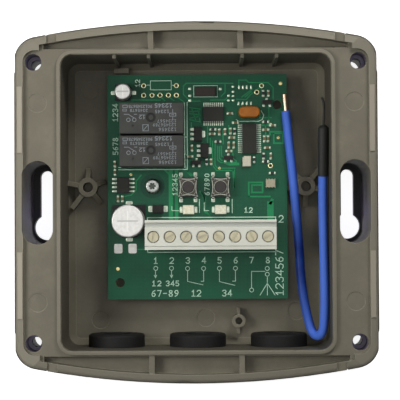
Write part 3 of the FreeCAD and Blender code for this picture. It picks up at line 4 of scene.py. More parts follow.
import bmesh
import bpy
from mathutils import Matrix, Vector


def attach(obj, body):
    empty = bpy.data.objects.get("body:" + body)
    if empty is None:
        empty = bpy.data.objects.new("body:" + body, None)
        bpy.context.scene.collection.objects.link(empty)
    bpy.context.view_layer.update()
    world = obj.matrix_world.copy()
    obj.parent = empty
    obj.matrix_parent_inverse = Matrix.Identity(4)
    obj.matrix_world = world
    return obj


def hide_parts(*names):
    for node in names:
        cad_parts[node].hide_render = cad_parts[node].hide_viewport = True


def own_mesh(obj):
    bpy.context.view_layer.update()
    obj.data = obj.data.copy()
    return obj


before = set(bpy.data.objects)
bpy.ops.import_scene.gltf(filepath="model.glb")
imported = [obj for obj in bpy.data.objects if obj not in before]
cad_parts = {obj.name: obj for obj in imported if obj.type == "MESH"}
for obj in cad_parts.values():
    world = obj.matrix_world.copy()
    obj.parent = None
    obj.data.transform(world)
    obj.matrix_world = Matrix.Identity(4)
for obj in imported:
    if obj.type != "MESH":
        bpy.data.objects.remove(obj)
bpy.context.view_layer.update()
random.seed(7)

# Board drawing values are in millimetres from the board's centre, u to the right and v up.
MM = 0.001
BOARD_X = 0.2
BOARD_Y = 5.2
BOARD_TOP = 9.6
PRINT_HIGH = 0.02
TRACE_HIGH = 0.012
PAD_HIGH = 0.05


# Camera

camera_data = bpy.data.cameras.new("camera")
camera_data.lens = 139.8
camera_data.sensor_width = 36
camera_data.clip_start = 0.01
camera = bpy.data.objects.new("camera", camera_data)
bpy.context.collection.objects.link(camera)
camera.location = (0.00396, -0.00975, 0.49359)
camera.rotation_euler = (math.radians(1.273), math.radians(0.359), math.radians(-0.311))
bpy.context.scene.camera = camera
bpy.context.scene.view_settings.view_transform = "Standard"


# Antenna wire

WIRE_POINTS = (
    (27.8, 28.5, 11.1),
    (28.6, 19.6, 11.1),
    (29.6, 11.0, 11.3),
    (30.6, -0.5, 12.0),
    (31.6, -14.4, 13.0),
    (32.0, -23.4, 13.8),
    (33.0, -31.2, 14.8),
    (35.2, -41.0, 15.8),
    (38.3, -40.8, 19.2),
    (38.9, -33.5, 19.7),
    (38.9, -24.6, 19.5),
    (38.7, -12.4, 18.9),
    (38.6, 0.9, 18.4),
    (38.6, 7.9, 19.4),
    (38.7, 22.2, 21.4),
)
WIRE_DIAMETER = 2.8

wire_curve = bpy.data.curves.new("antenna_wire_insulation", "CURVE")
wire_curve.dimensions = "3D"
wire_curve.bevel_depth = 1.0
wire_curve.bevel_resolution = 8
wire_curve.resolution_u = 24
wire_curve.use_fill_caps = True
wire_spline = wire_curve.splines.new("NURBS")
wire_spline.points.add(len(WIRE_POINTS) - 1)
# each point's radius is the tube's own, so the curve's bound box is as wide as the tube
for knot, place in zip(wire_spline.points, WIRE_POINTS):
    knot.co = (place[0] * MM, place[1] * MM, place[2] * MM, 1)
    knot.radius = WIRE_DIAMETER / 2 * MM
wire_spline.order_u = 3
wire_spline.use_endpoint_u = True
wire = bpy.data.objects.new("antenna_wire_insulation", wire_curve)
bpy.context.collection.objects.link(wire)
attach(wire, "case")
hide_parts("antenna_wire")


# Materials


def shade(red, green, blue):
    """A colour given as it looks on a screen, 0 to 255, turned into light values."""
    values = []
    for value in (red, green, blue):
        share = value / 255
        values.append(share / 12.92 if share <= 0.04045 else ((share + 0.055) / 1.055) ** 2.4)
    return (*values, 1)


def start_material(name, settings=None):
    """A new material with one principled shader and that shader's plain settings."""
    material = bpy.data.materials.new(name)
    material.use_nodes = True
    tree = material.node_tree
    tree.nodes.clear()
    output = tree.nodes.new("ShaderNodeOutputMaterial")
    shader = tree.nodes.new("ShaderNodeBsdfPrincipled")
    tree.links.new(shader.outputs["BSDF"], output.inputs["Surface"])
    for setting, value in (settings or {}).items():
        shader.inputs[setting].default_value = value
    return material, tree, shader


def noise(tree, scale, detail=3, stretch=(1, 1, 1)):
    """A noise value over the surface; scale is in patches per metre."""
    place = tree.nodes.new("ShaderNodeTexCoord")
    mapping = tree.nodes.new("ShaderNodeMapping")
    mapping.inputs["Scale"].default_value = stretch
    texture = tree.nodes.new("ShaderNodeTexNoise")
    texture.inputs["Scale"].default_value = scale
    texture.inputs["Detail"].default_value = detail
    tree.links.new(place.outputs["Object"], mapping.inputs["Vector"])
    tree.links.new(mapping.outputs["Vector"], texture.inputs["Vector"])
    return texture.outputs["Fac"]


def remap(tree, value, low, high, to_low, to_high):
    node = tree.nodes.new("ShaderNodeMapRange")
    node.inputs["From Min"].default_value = low
    node.inputs["From Max"].default_value = high
    node.inputs["To Min"].default_value = to_low
    node.inputs["To Max"].default_value = to_high
    tree.links.new(value, node.inputs["Value"])
    return node.outputs["Result"]


def patches(tree, scale, detail=3, low=0.35, high=0.65, most=1):
    """Soft random patches with values from 0 to most."""
    return remap(tree, noise(tree, scale, detail), low, high, 0, most)


def blend(tree, share, first, second):
    """Mix two colours by share; each is a fixed colour or the output of another mix."""
    node = tree.nodes.new("ShaderNodeMix")
    node.data_type = "RGBA"
    tree.links.new(share, node.inputs["Factor"])
    for socket, colour in ((node.inputs[6], first), (node.inputs[7], second)):
        if isinstance(colour, tuple):
            socket.default_value = colour
        else:
            tree.links.new(colour, socket)
    return node.outputs[2]


def bumped(tree, value, distance, normal=None):
    """The normal of a surface raised by value times distance."""
    bump = tree.nodes.new("ShaderNodeBump")
    bump.inputs["Distance"].default_value = distance
    tree.links.new(value, bump.inputs["Height"])
    if normal is not None:
        tree.links.new(normal, bump.inputs["Normal"])
    return bump.outputs["Normal"]


def finish_material(tree, shader, colour, gloss, rough, height, depth, normal=None):
    """Link the colour, the roughness that rough makes of gloss, and the relief of height."""
    tree.links.new(colour, shader.inputs["Base Color"])
    tree.links.new(remap(tree, gloss, *rough), shader.inputs["Roughness"])
    tree.links.new(bumped(tree, height, depth, normal), shader.inputs["Normal"])


def axis_value(tree, axis, source="ShaderNodeTexCoord", output="Object"):
    """One coordinate of the surface point, or of another vector."""
    vector = tree.nodes.new(source)
    axes = tree.nodes.new("ShaderNodeSeparateXYZ")
    tree.links.new(vector.outputs[output], axes.inputs["Vector"])
    return axes.outputs[axis]


def math_value(tree, operation, first, second=None):
    node = tree.nodes.new("ShaderNodeMath")
    node.operation = operation
    for socket, value in zip(node.inputs, (first, second)):
        if isinstance(value, (int, float)):
            socket.default_value = value
        elif value is not None:
            tree.links.new(value, socket)
    return node.outputs["Value"]


def times(tree, first, second):
    return math_value(tree, "MULTIPLY", first, second)


def vector_value(tree, operation, first, second, output="Vector"):
    """Vector arithmetic on a node's output and a fixed vector or another output."""
    node = tree.nodes.new("ShaderNodeVectorMath")
    node.operation = operation
    tree.links.new(first, node.inputs[0])
    if isinstance(second, tuple):
        node.inputs[1].default_value = second
    else:
        tree.links.new(second, node.inputs[1])
    return node.outputs[output]


def round_share(tree, x, y, inside, outside):
    """1 nearer than inside to the upright line through x and y, 0 beyond outside, in metres."""
    place = tree.nodes.new("ShaderNodeTexCoord")
    level = vector_value(tree, "MULTIPLY", place.outputs["Object"], (1, 1, 0))
    away = vector_value(tree, "DISTANCE", level, (x, y, 0), "Value")
    return remap(tree, away, inside, outside, 1, 0)


def soft_normal(tree, radius):
    """The surface's normal, rounded off within radius of its edges."""
    bevel = tree.nodes.new("ShaderNodeBevel")
    bevel.samples = 4
    bevel.inputs["Radius"].default_value = radius
    return bevel.outputs["Normal"]


def worn_edges(tree, body, colour, radius, most=1, full=0.8):
    """The body's colour with its sharp edges turned to another by most, as wear on some materials and as
    a painted highlight on others, and the softened normal.
    """
    normal = soft_normal(tree, radius)
    geometry = tree.nodes.new("ShaderNodeNewGeometry")
    likeness = vector_value(tree, "DOT_PRODUCT", normal, geometry.outputs["Normal"], "Value")
    share = remap(tree, likeness, 0.99, full, 0, most)
    return blend(tree, share, body, colour), normal


def steepness(tree):
    """1 on upright walls, 0 on level and gently sloped faces."""
    upward = math_value(tree, "ABSOLUTE", axis_value(tree, "Z", "ShaderNodeNewGeometry", "Normal"))
    return remap(tree, upward, 0.25, 0.5, 1, 0)


def darker(colour, share):
    return (colour[0] * share, colour[1] * share, colour[2] * share, 1)


def lighter(colour, share):
    return tuple(min(1.0, value + (1 - value) * share) for value in colour[:3]) + (1,)


def moulded(
    name, colour, rough, shine=0.2, patch=220, grain=2600, depth=0.00001,
    variation=0.07, worn=0.12, edge=0.00018,
):
    """Moulded plastic or rubber: soft patches, fine grain and paler worn edges."""
    material, tree, shader = start_material(name, {"Specular IOR Level": shine})
    dark = darker(colour, 1 - variation)
    body = blend(tree, patches(tree, patch), dark, darker(colour, 1 + variation))
    body, normal = worn_edges(tree, body, lighter(colour, worn), edge, 0.85)
    fine = noise(tree, grain)
    gloss = (0.3, 0.7, rough - 0.06, rough + 0.06)
    finish_material(tree, shader, body, fine, gloss, fine, depth, normal)
    return material


def metal(
    name, colour, rough, stretch=(1, 1, 1), grain=1800, depth=0.000004,
    stain=0.12, edge=0.00008, edge_light=0.25,
):
    """Plated or bare metal: fine lines or grain in the gloss and faint stains in the colour."""
    material, tree, shader = start_material(name, {"Metallic": 1.0})
    body = blend(tree, patches(tree, 500, high=0.7), colour, darker(colour, 1 - stain))
    body, normal = worn_edges(tree, body, lighter(colour, edge_light), edge)
    lines = noise(tree, grain, 4, stretch)
    gloss = (0.3, 0.7, rough - 0.08, rough + 0.1)
    finish_material(tree, shader, body, lines, gloss, lines, depth, normal)
    return material


# The housing's colour, its painted highlights and painted shade, and the heights and reaches in metres
# where its look changes
HOUSING = shade(118, 113, 98)
RIM_HIGHLIGHT = shade(137, 132, 117)
PAD_HIGHLIGHT = shade(172, 164, 148)
LEDGE_SHADE = shade(40, 40, 38)
FLANGE_TOP = 0.0304
RIM_TOP = 0.032
PAD_TOP = 0.03235
RIM_SLOPE = 0.32
WALL_SHADE = 0.38
KEY_LEDGE_TOP = 0.0032
KEY_LEDGE_FROM_X = 0.0428
KEY_LEDGE_TO_X = 0.052
KEY_LEDGE_TO_Y = 0.02
INSIDE_REACH = 0.0505
END_WALL_BEND = 2.25


def housing_plastic():
    """Cloudy brown-grey plastic, with painted shade on the inner walls and the screw ledges, and painted
    highlights on the rim, its pads and its edges.
    """
    material, tree, shader = start_material("housing_plastic", {"Specular IOR Level": 0.3})
    body = blend(tree, patches(tree, 60, 4), darker(HOUSING, 0.9), darker(HOUSING, 1.06))
    body = blend(tree, patches(tree, 130, 4, 0.46, 0.68, 0.8), body, darker(HOUSING, 1.16))
    body = blend(tree, patches(tree, 700, 4, most=0.35), body, darker(HOUSING, 0.88))
    out_x = math_value(tree, "ABSOLUTE", axis_value(tree, "X"))
    out_y = math_value(tree, "ABSOLUTE", axis_value(tree, "Y"))
    # the two end walls are arched, so their distance is measured along the arch
    bend = times(tree, times(tree, out_x, out_x), END_WALL_BEND)
    reach = math_value(tree, "MAXIMUM", out_x, math_value(tree, "ADD", out_y, bend))
    inside = remap(tree, reach, INSIDE_REACH, INSIDE_REACH + 0.001, 0.85, 0)
    # painted shade: the steep walls inside the rim are darker
    inner_wall_shade = times(tree, steepness(tree), inside)
    body = blend(tree, inner_wall_shade, body, darker(HOUSING, WALL_SHADE))
    height = axis_value(tree, "Z")
    # painted highlight: the rim's top and its raised pads are paler
    rim = remap(tree, height, FLANGE_TOP + 0.0009, RIM_TOP - 0.0003, 0, 1)
    body = blend(tree, rim, body, RIM_HIGHLIGHT)
    pads = remap(tree, height, RIM_TOP + 0.0001, PAD_TOP - 0.0001, 0, 1)
    body = blend(tree, pads, body, PAD_HIGHLIGHT)
    # painted shade on the ledges under the wall screws' heads, at the bottom of the keyhole pockets
    ledge_shade = remap(tree, height, KEY_LEDGE_TOP + 0.0001, KEY_LEDGE_TOP + 0.0004, 1, 0)
    for away, limit, before, beyond in (
        (out_x, KEY_LEDGE_FROM_X, 0, 1),
        (out_x, KEY_LEDGE_TO_X, 1, 0),
        (out_y, KEY_LEDGE_TO_Y, 1, 0),
    ):
        share = remap(tree, away, limit, limit + 0.0002, before, beyond)
        ledge_shade = times(tree, ledge_shade, share)
    body = blend(tree, ledge_shade, body, LEDGE_SHADE)
    # painted highlight: the housing's sharp edges are paler
    body, normal = worn_edges(tree, body, shade(166, 161, 143), 0.00034, 0.75, 0.9)
    # the rim's top leans outward: its height falls with the distance from the middle
    fall = times(tree, math_value(tree, "MAXIMUM", out_x, out_y), -RIM_SLOPE)
    normal = bumped(tree, times(tree, fall, rim), 1.0, normal)
    grain = noise(tree, 1900, 5)
    finish_material(tree, shader, body, grain, (0.3, 0.7, 0.5, 0.66), grain, 0.00003, normal)
    return material


MASK = shade(35, 89, 65)
SCREW_AT = (-0.0138, 0.0054)
BARE_RING_R = 0.0037


def weave_stripes(tree, direction):
    """Soft stripes along one axis, half of the board's glass weave."""
    place = tree.nodes.new("ShaderNodeTexCoord")
    stripes = tree.nodes.new("ShaderNodeTexWave")
    stripes.bands_direction = direction
    stripes.inputs["Scale"].default_value = 260
    stripes.inputs["Distortion"].default_value = 0.6
    tree.links.new(place.outputs["Object"], stripes.inputs["Vector"])
    return stripes.outputs["Fac"]


def board_laminate():
    """Solder mask with a faint glass weave; bare laminate on the upright sides."""
    material, tree, shader = start_material("board_laminate", {"Specular IOR Level": 0.1})
    weave = times(tree, weave_stripes(tree, "X"), weave_stripes(tree, "Y"))
    clouds = patches(tree, 130)
    mask = blend(tree, clouds, darker(MASK, 0.9), darker(MASK, 1.12))
    mask = blend(tree, remap(tree, weave, 0, 1, 0, 0.18), mask, shade(52, 104, 76))
    # no copper under the mask round the screw, so it is darker there
    bare = round_share(tree, *SCREW_AT, BARE_RING_R, BARE_RING_R + 0.0002)
    mask = blend(tree, remap(tree, bare, 0, 1, 0, 0.6), mask, shade(36, 62, 54))
    laminate = patches(tree, 1500, 3, 0.3, 0.7)
    laminate = blend(tree, laminate, shade(128, 132, 84), shade(160, 158, 108))
    body = blend(tree, steepness(tree), mask, laminate)
    finish_material(tree, shader, body, clouds, (0, 1, 0.3, 0.42), weave, 0.000006)
    return material


CAN_AXES = ((-21.3, -10.7, 3.0), (-22.9, 29.4, 1.6))
CROSS_WIDTH = 0.00012


def can_aluminium():
    """Aluminium can with a faint pressed cross on each top: a painted highlight along its ridge and
    painted shade along its crease.
    """
    material, tree, shader = start_material("can_aluminium", {"Metallic": 0.55})
    grain = noise(tree, 900, 4, (1, 1, 6))
    clouds = remap(tree, grain, 0.35, 0.65, 0, 1)
    body = blend(tree, clouds, shade(184, 183, 178), shade(202, 201, 197))
    for u, v, reach in CAN_AXES:
        x = (BOARD_X + u) * MM
        y = (BOARD_Y + v) * MM
        near = round_share(tree, x, y, reach * MM, reach * MM + 0.0003)
        # painted highlight on the cross's line that runs along Y, painted shade on the line that runs
        # along X
        for axis, middle, painted_light in (("X", x, 1.12), ("Y", y, 0.6)):
            off = math_value(tree, "SUBTRACT", axis_value(tree, axis), middle)
            off = math_value(tree, "ABSOLUTE", off)
            line = remap(tree, off, CROSS_WIDTH, CROSS_WIDTH * 2.5, 1, 0)
            line = times(tree, line, near)
            body = blend(tree, line, body, darker(shade(196, 195, 190), painted_light))
    body, normal = worn_edges(tree, body, shade(222, 222, 219), 0.0002)
    finish_material(tree, shader, body, grain, (0.3, 0.7, 0.34, 0.5), grain, 0.000006, normal)
    return material


RELAY_CENTRES = ((-13.9, 20.7), (-13.9, 10.65))
RELAY_RING_AT = (-0.1, 0.2)


def relay_plastic():
    """Relay cover: dark plastic, with painted shade in its moulded ring groove."""
    material, tree, shader = start_material("relay_plastic", {"Specular IOR Level": 0.18})
    body = blend(tree, patches(tree, 300), shade(60, 61, 59), shade(66, 66, 63))
    for u, v in RELAY_CENTRES:
        x = (BOARD_X + u + RELAY_RING_AT[0]) * MM
        y = (BOARD_Y + v + RELAY_RING_AT[1]) * MM
        # painted shade in the ring groove moulded into each cover
        inner = round_share(tree, x, y, 0.00065, 0.0008)
        outer = round_share(tree, x, y, 0.0014, 0.0016)
        body = blend(tree, math_value(tree, "SUBTRACT", outer, inner), body, shade(36, 37, 36))
    body, normal = worn_edges(tree, body, shade(84, 84, 80), 0.00018, 0.3)
    grain = noise(tree, 3200, 4)
    finish_material(tree, shader, body, grain, (0.3, 0.7, 0.45, 0.58), grain, 0.000014, normal)
    return material


def lamp_resin():
    """Indicator lamp: cloudy lens over a pale case."""
    settings = {"Subsurface Weight": 0.2, "Subsurface Radius": (0.001, 0.0008, 0.0005)}
    material, tree, shader = start_material("lamp_resin", settings)
    clouds = patches(tree, 1400)
    body = blend(tree, clouds, shade(226, 222, 190), shade(240, 238, 218))
    finish_material(tree, shader, body, clouds, (0, 1, 0.22, 0.36), noise(tree, 2600), 0.000004)
    return material


FILTER_SPLIT_Y = 0.0094


def filter_ceramic():
    """Two ceramic filters in one node: a grey-gold lid up to their dividing line, cream beyond."""
    material, tree, shader = start_material("filter_ceramic")
    beyond = remap(tree, axis_value(tree, "Y"), FILTER_SPLIT_Y, FILTER_SPLIT_Y + 0.0002, 0, 1)
    grain = patches(tree, 1600, 4, 0.3, 0.7)
    lid = blend(tree, grain, shade(158, 152, 126), shade(180, 174, 148))
    cream = blend(tree, grain, shade(196, 191, 168), shade(214, 210, 190))
    body = blend(tree, beyond, lid, cream)
    normal = soft_normal(tree, 0.0001)
    finish_material(tree, shader, body, grain, (0, 1, 0.35, 0.55), noise(tree, 2400), 0.000006, normal)
    return material


WIRE_SHADE = shade(12, 38, 108)
WIRE_BLUE = shade(94, 138, 255)
WIRE_SHADOW_Y = -0.018
WIRE_SHADOW_REACH = 0.024
WIRE_LEG_SPLIT_X = 0.0352


def wire_plastic():
    """Smooth blue plastic, with a painted shadow on the leg that passes close to the terminal block and
    painted shade on its side facing right.
    """
    settings = {"Specular IOR Level": 0.12, "Coat Weight": 0.03, "Coat Roughness": 0.3}
    material, tree, shader = start_material("wire_plastic", settings)
    # painted shadow of the terminal block on the wire's left leg, deepest beside the block
    off = math_value(tree, "SUBTRACT", axis_value(tree, "Y"), WIRE_SHADOW_Y)
    near = remap(tree, math_value(tree, "ABSOLUTE", off), 0.004, WIRE_SHADOW_REACH, 1, 0.3)
    leg = remap(tree, axis_value(tree, "X"), WIRE_LEG_SPLIT_X - 0.002, WIRE_LEG_SPLIT_X + 0.002, 1, 0)
    body = blend(tree, times(tree, near, leg), WIRE_BLUE, WIRE_SHADE)
    # painted shade on the side of the wire that faces right
    facing_right = axis_value(tree, "X", "ShaderNodeNewGeometry", "Normal")
    body = blend(tree, remap(tree, facing_right, 0.15, 0.95, 0, 0.75), body, WIRE_SHADE)
    body = blend(tree, patches(tree, 160, most=0.12), body, shade(70, 116, 214))
    grain = noise(tree, 900)
    finish_material(tree, shader, body, grain, (0.3, 0.7, 0.36, 0.46), grain, 0.000003)
    return material


TERMINAL_TOP = 0.0202


def terminal_plastic():
    """Terminal block: pale plastic, with painted shade below its top and in its grooves, and painted
    highlights on its edges.
    """
    material, tree, shader = start_material("terminal_plastic", {"Specular IOR Level": 0.35})
    # painted shade on all faces below the block's top
    low = remap(tree, axis_value(tree, "Z"), TERMINAL_TOP - 0.0007, TERMINAL_TOP - 0.0001, 1, 0)
    body = blend(tree, patches(tree, 160), shade(226, 228, 214), shade(233, 234, 221))
    body = blend(tree, low, body, shade(196, 199, 190))
    # painted highlight on the block's sharp edges
    body, normal = worn_edges(tree, body, shade(244, 245, 238), 0.0002)
    grain = noise(tree, 2600, 4)
    finish_material(tree, shader, body, grain, (0.3, 0.7, 0.36, 0.48), grain, 0.000012, normal)
    return material


SCREW_HEAD_TOP = 0.0115


def screw_zinc():
    """Board screw: bright head, with painted shade in its six-lobe recess."""
    material, tree, shader = start_material("board_screw_zinc", {"Metallic": 1.0})
    # painted shade in the recess, below the head's top
    deep = remap(tree, axis_value(tree, "Z"), SCREW_HEAD_TOP - 0.0003, SCREW_HEAD_TOP - 0.0001, 1, 0)
    recess_shade = times(tree, deep, round_share(tree, *SCREW_AT, 0.00115, 0.00125))
    stains = patches(tree, 1400, 4)
    body = blend(tree, stains, shade(104, 108, 104), shade(160, 163, 158))
    body = blend(tree, recess_shade, body, shade(62, 66, 62))
    normal = soft_normal(tree, 0.0001)
    finish_material(tree, shader, body, stains, (0, 1, 0.26, 0.42), stains, 0.00002, normal)
    return material


can_metal = can_aluminium()
relay_cover_plastic = relay_plastic()
rubber = moulded(
    "grommet_rubber", shade(31, 30, 30), 0.62, 0.15, 150, 1500, 0.00003, worn=0.05, edge=0.0004
)
sleeve_plastic = moulded("sleeve_plastic", shade(46, 47, 45), 0.5, 0.2, 160, 800, 0.00002, worn=0.04)
relay_base_plastic = moulded("relay_base_plastic", shade(40, 39, 38), 0.55, 0.15)
switch_plastic = moulded("switch_plastic", shade(36, 36, 37), 0.5)
plunger_plastic = moulded("plunger_plastic", shade(50, 46, 44), 0.42, 0.25, 700, worn=0.1)
chip_plastic = moulded("chip_plastic", shade(43, 43, 39), 0.5, 0.15, 500, 4200, 0.000008, worn=0.08)
semiconductor_plastic = moulded(
    "semiconductor_plastic", shade(36, 36, 34), 0.5, 0.15, 600, 4200, 0.000008
)
resonator_resin = moulded("resonator_resin", shade(163, 97, 27), 0.36, 0.2, 420, 1500, 0.00001, 0.1)
crystal_plastic = moulded("crystal_plastic", shade(42, 34, 28), 0.42, 0.2, 400, 2600)
base_plastic = moulded("capacitor_base_plastic", shade(36, 36, 36), 0.5, 0.15)
coil_enamel = moulded("coil_enamel", shade(170, 84, 40), 0.3, 0.4, 900, 5000, 0.00002)
screw_plate = metal("screw_plate", shade(148, 143, 122), 0.34, (1, 8, 1), 1400, stain=0.2)
cage_plate = metal("cage_plate", shade(170, 168, 160), 0.36, (1, 1, 6), 1500)
tin_plate = metal("tin_plate", shade(180, 180, 174), 0.32, (1, 1, 1), 2200)
lead_plate = metal("lead_plate", shade(134, 140, 128), 0.34, (1, 1, 1), 2200, edge_light=0.1)
ring_plate = metal("ring_plate", shade(200, 196, 152), 0.4, (1, 1, 1), 2000)
# painted highlight for the edges of the buttons' cover plates
plate_edge_highlight = moulded("plate_edge_highlight", shade(182, 186, 172), 0.4, 0.4, 700, 2400, 0.000004, worn=0.05)
tinned_pad = moulded("tinned_pad", shade(255, 255, 248), 0.34, 0.5, 500, 1800, 0.000012, 0.12, worn=0.05)
solder = metal("solder", shade(166, 180, 160), 0.36, (1, 1, 1), 1600, 0.00001, 0.3)
iron_plate = metal("iron_plate", shade(150, 150, 150), 0.4, (6, 1, 1), 1400)
# painted reflection: the cover plates' dark colour stands in for a dark surrounding seen in the steel,
# and their strongly lightened edges are a painted highlight
steel_dark_reflection = metal("steel_dark_reflection", shade(64, 62, 56), 0.4, (10, 1, 1), 900, edge=0.0002, edge_light=0.6)
spring_steel = metal("spring_steel", shade(160, 160, 158), 0.34, (10, 1, 1), 900)
copper_metal = metal("copper_metal", shade(206, 181, 157), 0.34, (1, 6, 1), 1200)
gold_plate = metal("gold_plate", shade(172, 160, 112), 0.36, (1, 1, 1), 2000)

NODE_MATERIALS = {
    "base_housing": housing_plastic(),
    "circuit_board": board_laminate(),
    "board_screw": screw_zinc(),
    "terminal_housing": terminal_plastic(),
    "terminal_pins": tin_plate,
    "capacitor_can_large": can_metal,
    "capacitor_can_small": can_metal,
    "capacitor_bases": base_plastic,
    "indicator_leds": lamp_resin(),
    "driver_chip": chip_plastic,
    "logic_chip": chip_plastic,
    "receiver_chip": chip_plastic,
    "chip_leads": lead_plate,
    "ceramic_resonator": resonator_resin,
    "crystal": crystal_plastic,
    "ceramic_filters": filter_ceramic(),
    "small_semiconductors": semiconductor_plastic,
    "antenna_core": copper_metal,
    "antenna_sleeve": sleeve_plastic,
}
for side in ("left", "middle", "right"):
    NODE_MATERIALS[f"cable_grommet_{side}"] = rubber
for way in range(1, 9):
    NODE_MATERIALS[f"terminal_screw_{way}"] = screw_plate
    NODE_MATERIALS[f"terminal_clamp_{way}"] = cage_plate
for number in (1, 2):
    NODE_MATERIALS[f"relay_{number}_base"] = relay_base_plastic
    NODE_MATERIALS[f"relay_{number}_cover"] = relay_cover_plastic
    NODE_MATERIALS[f"relay_{number}_coil"] = coil_enamel
    NODE_MATERIALS[f"relay_{number}_yoke"] = iron_plate
    NODE_MATERIALS[f"relay_{number}_armature"] = iron_plate
    NODE_MATERIALS[f"relay_{number}_contacts"] = tin_plate
    NODE_MATERIALS[f"switch_{number}_body"] = switch_plastic
    NODE_MATERIALS[f"switch_{number}_cover_plate"] = steel_dark_reflection
    NODE_MATERIALS[f"switch_{number}_plunger"] = plunger_plastic
    NODE_MATERIALS[f"switch_{number}_dome"] = spring_steel
for node_name, material in NODE_MATERIALS.items():
    for material_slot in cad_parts[node_name].material_slots:
        material_slot.material = material
wire_curve.materials.append(wire_plastic())


# Drawing tools for the board


def add_piece(name, mesh_data, material, body="case"):
    """Turn a bmesh in millimetres into a riding piece in metres."""
    mesh = bpy.data.meshes.new(name)
    bmesh.ops.scale(mesh_data, vec=(MM, MM, MM), verts=mesh_data.verts)
    bmesh.ops.recalc_face_normals(mesh_data, faces=mesh_data.faces)
    mesh_data.to_mesh(mesh)
    mesh_data.free()
    mesh.materials.append(material)
    piece = bpy.data.objects.new(name, mesh)
    bpy.context.collection.objects.link(piece)
    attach(piece, body)
    return piece


END_OVERHANG = 0.7
SHARPEST_MITRE = 0.35


def ribbon(target, points, width, base_z=BOARD_TOP, high=PRINT_HIGH):
    """A flat strip of constant width along points given on the board."""
    half = width / 2
    left = []
    right = []
    for i, (u, v) in enumerate(points):
        before = Vector(points[max(i - 1, 0)])
        after = Vector(points[min(i + 1, len(points) - 1)])
        here = Vector((u, v))
        ahead = (after - here).normalized() if i < len(points) - 1 else (here - before).normalized()
        behind = (here - before).normalized() if i > 0 else ahead
        along = (ahead + behind).normalized()
        across = Vector((-along.y, along.x))
        stretch = half / max(SHARPEST_MITRE, across.dot(Vector((-ahead.y, ahead.x))))
        start_pull = -half * END_OVERHANG if i == 0 else 0
        end_pull = half * END_OVERHANG if i == len(points) - 1 else 0
        centre = here + along * (start_pull + end_pull)
        left.append(centre + across * stretch)
        right.append(centre - across * stretch)
    lower = []
    upper = []
    for near, far in zip(left, right):
        for row, z in ((lower, base_z), (upper, base_z + high)):
            row.append([target.verts.new((BOARD_X + p.x, BOARD_Y + p.y, z)) for p in (near, far)])
    for i in range(len(points) - 1):
        target.faces.new((upper[i][0], upper[i][1], upper[i + 1][1], upper[i + 1][0]))
        target.faces.new((lower[i][0], upper[i][0], upper[i + 1][0], lower[i + 1][0]))
        target.faces.new((upper[i][1], lower[i][1], lower[i + 1][1], upper[i + 1][1]))
    for end in (0, -1):
        target.faces.new((lower[end][0], lower[end][1], upper[end][1], upper[end][0]))


def circle_points(centre, radius, count=20):
    points = []
    for i in range(count + 1):
        angle = 2 * math.pi * i / count
        points.append((centre[0] + radius * math.cos(angle), centre[1] + radius * math.sin(angle)))
    return points


def join_rings(target, first, second):
    """Faces between two closed rings with the same number of points."""
    for k in range(len(first)):
        after = (k + 1) % len(first)
        target.faces.new((first[k], second[k], second[after], first[after]))


def rectangle_points(left, bottom, right, top):
    return [(left, bottom), (left, top), (right, top), (right, bottom), (left, bottom)]


MOUND_SIDES = 24
MOUND_STEPS = 6
RING_SIDES = 28


def mound(target, centre, width, depth, high, power=4):
    """A low rounded mound of solder on a rectangle, or on a disc when power is 2."""
    x = BOARD_X + centre[0]
    y = BOARD_Y + centre[1]
    previous = None
    for i in range(1, MOUND_STEPS + 1):
        share = i / MOUND_STEPS
        z = BOARD_TOP + high * (1 - share**3)
        ring = []
        for k in range(MOUND_SIDES):
            angle = 2 * math.pi * k / MOUND_SIDES
            c, s = math.cos(angle), math.sin(angle)
            reach = share * (abs(c) ** power + abs(s) ** power) ** (-1 / power)
            ring.append(target.verts.new((x + reach * c * width / 2, y + reach * s * depth / 2, z)))
        if previous is None:
            top = target.verts.new((x, y, BOARD_TOP + high))
            for k in range(MOUND_SIDES):
                target.faces.new((top, ring[k], ring[(k + 1) % MOUND_SIDES]))
        else:
            join_rings(target, previous, ring)
        previous = ring


def ring_pad(target, centre, inner, outer, high):
    """A round pad with a hole, crowned between its inner and outer edges."""
    previous = None
    for across, share in ((0, 0.4), (0.25, 1.0), (0.7, 0.9), (1, 0.0)):
        radius = inner + across * (outer - inner)
        ring = []
        for k in range(RING_SIDES):
            angle = 2 * math.pi * k / RING_SIDES
            x = BOARD_X + centre[0] + radius * math.cos(angle)
            y = BOARD_Y + centre[1] + radius * math.sin(angle)
            ring.append(target.verts.new((x, y, BOARD_TOP + high * share)))
        if previous is not None:
            join_rings(target, previous, ring)
        previous = ring


def smooth(piece):
    for face in piece.data.polygons:
        face.use_smooth = True
    return piece


# Copper traces seen through the mask

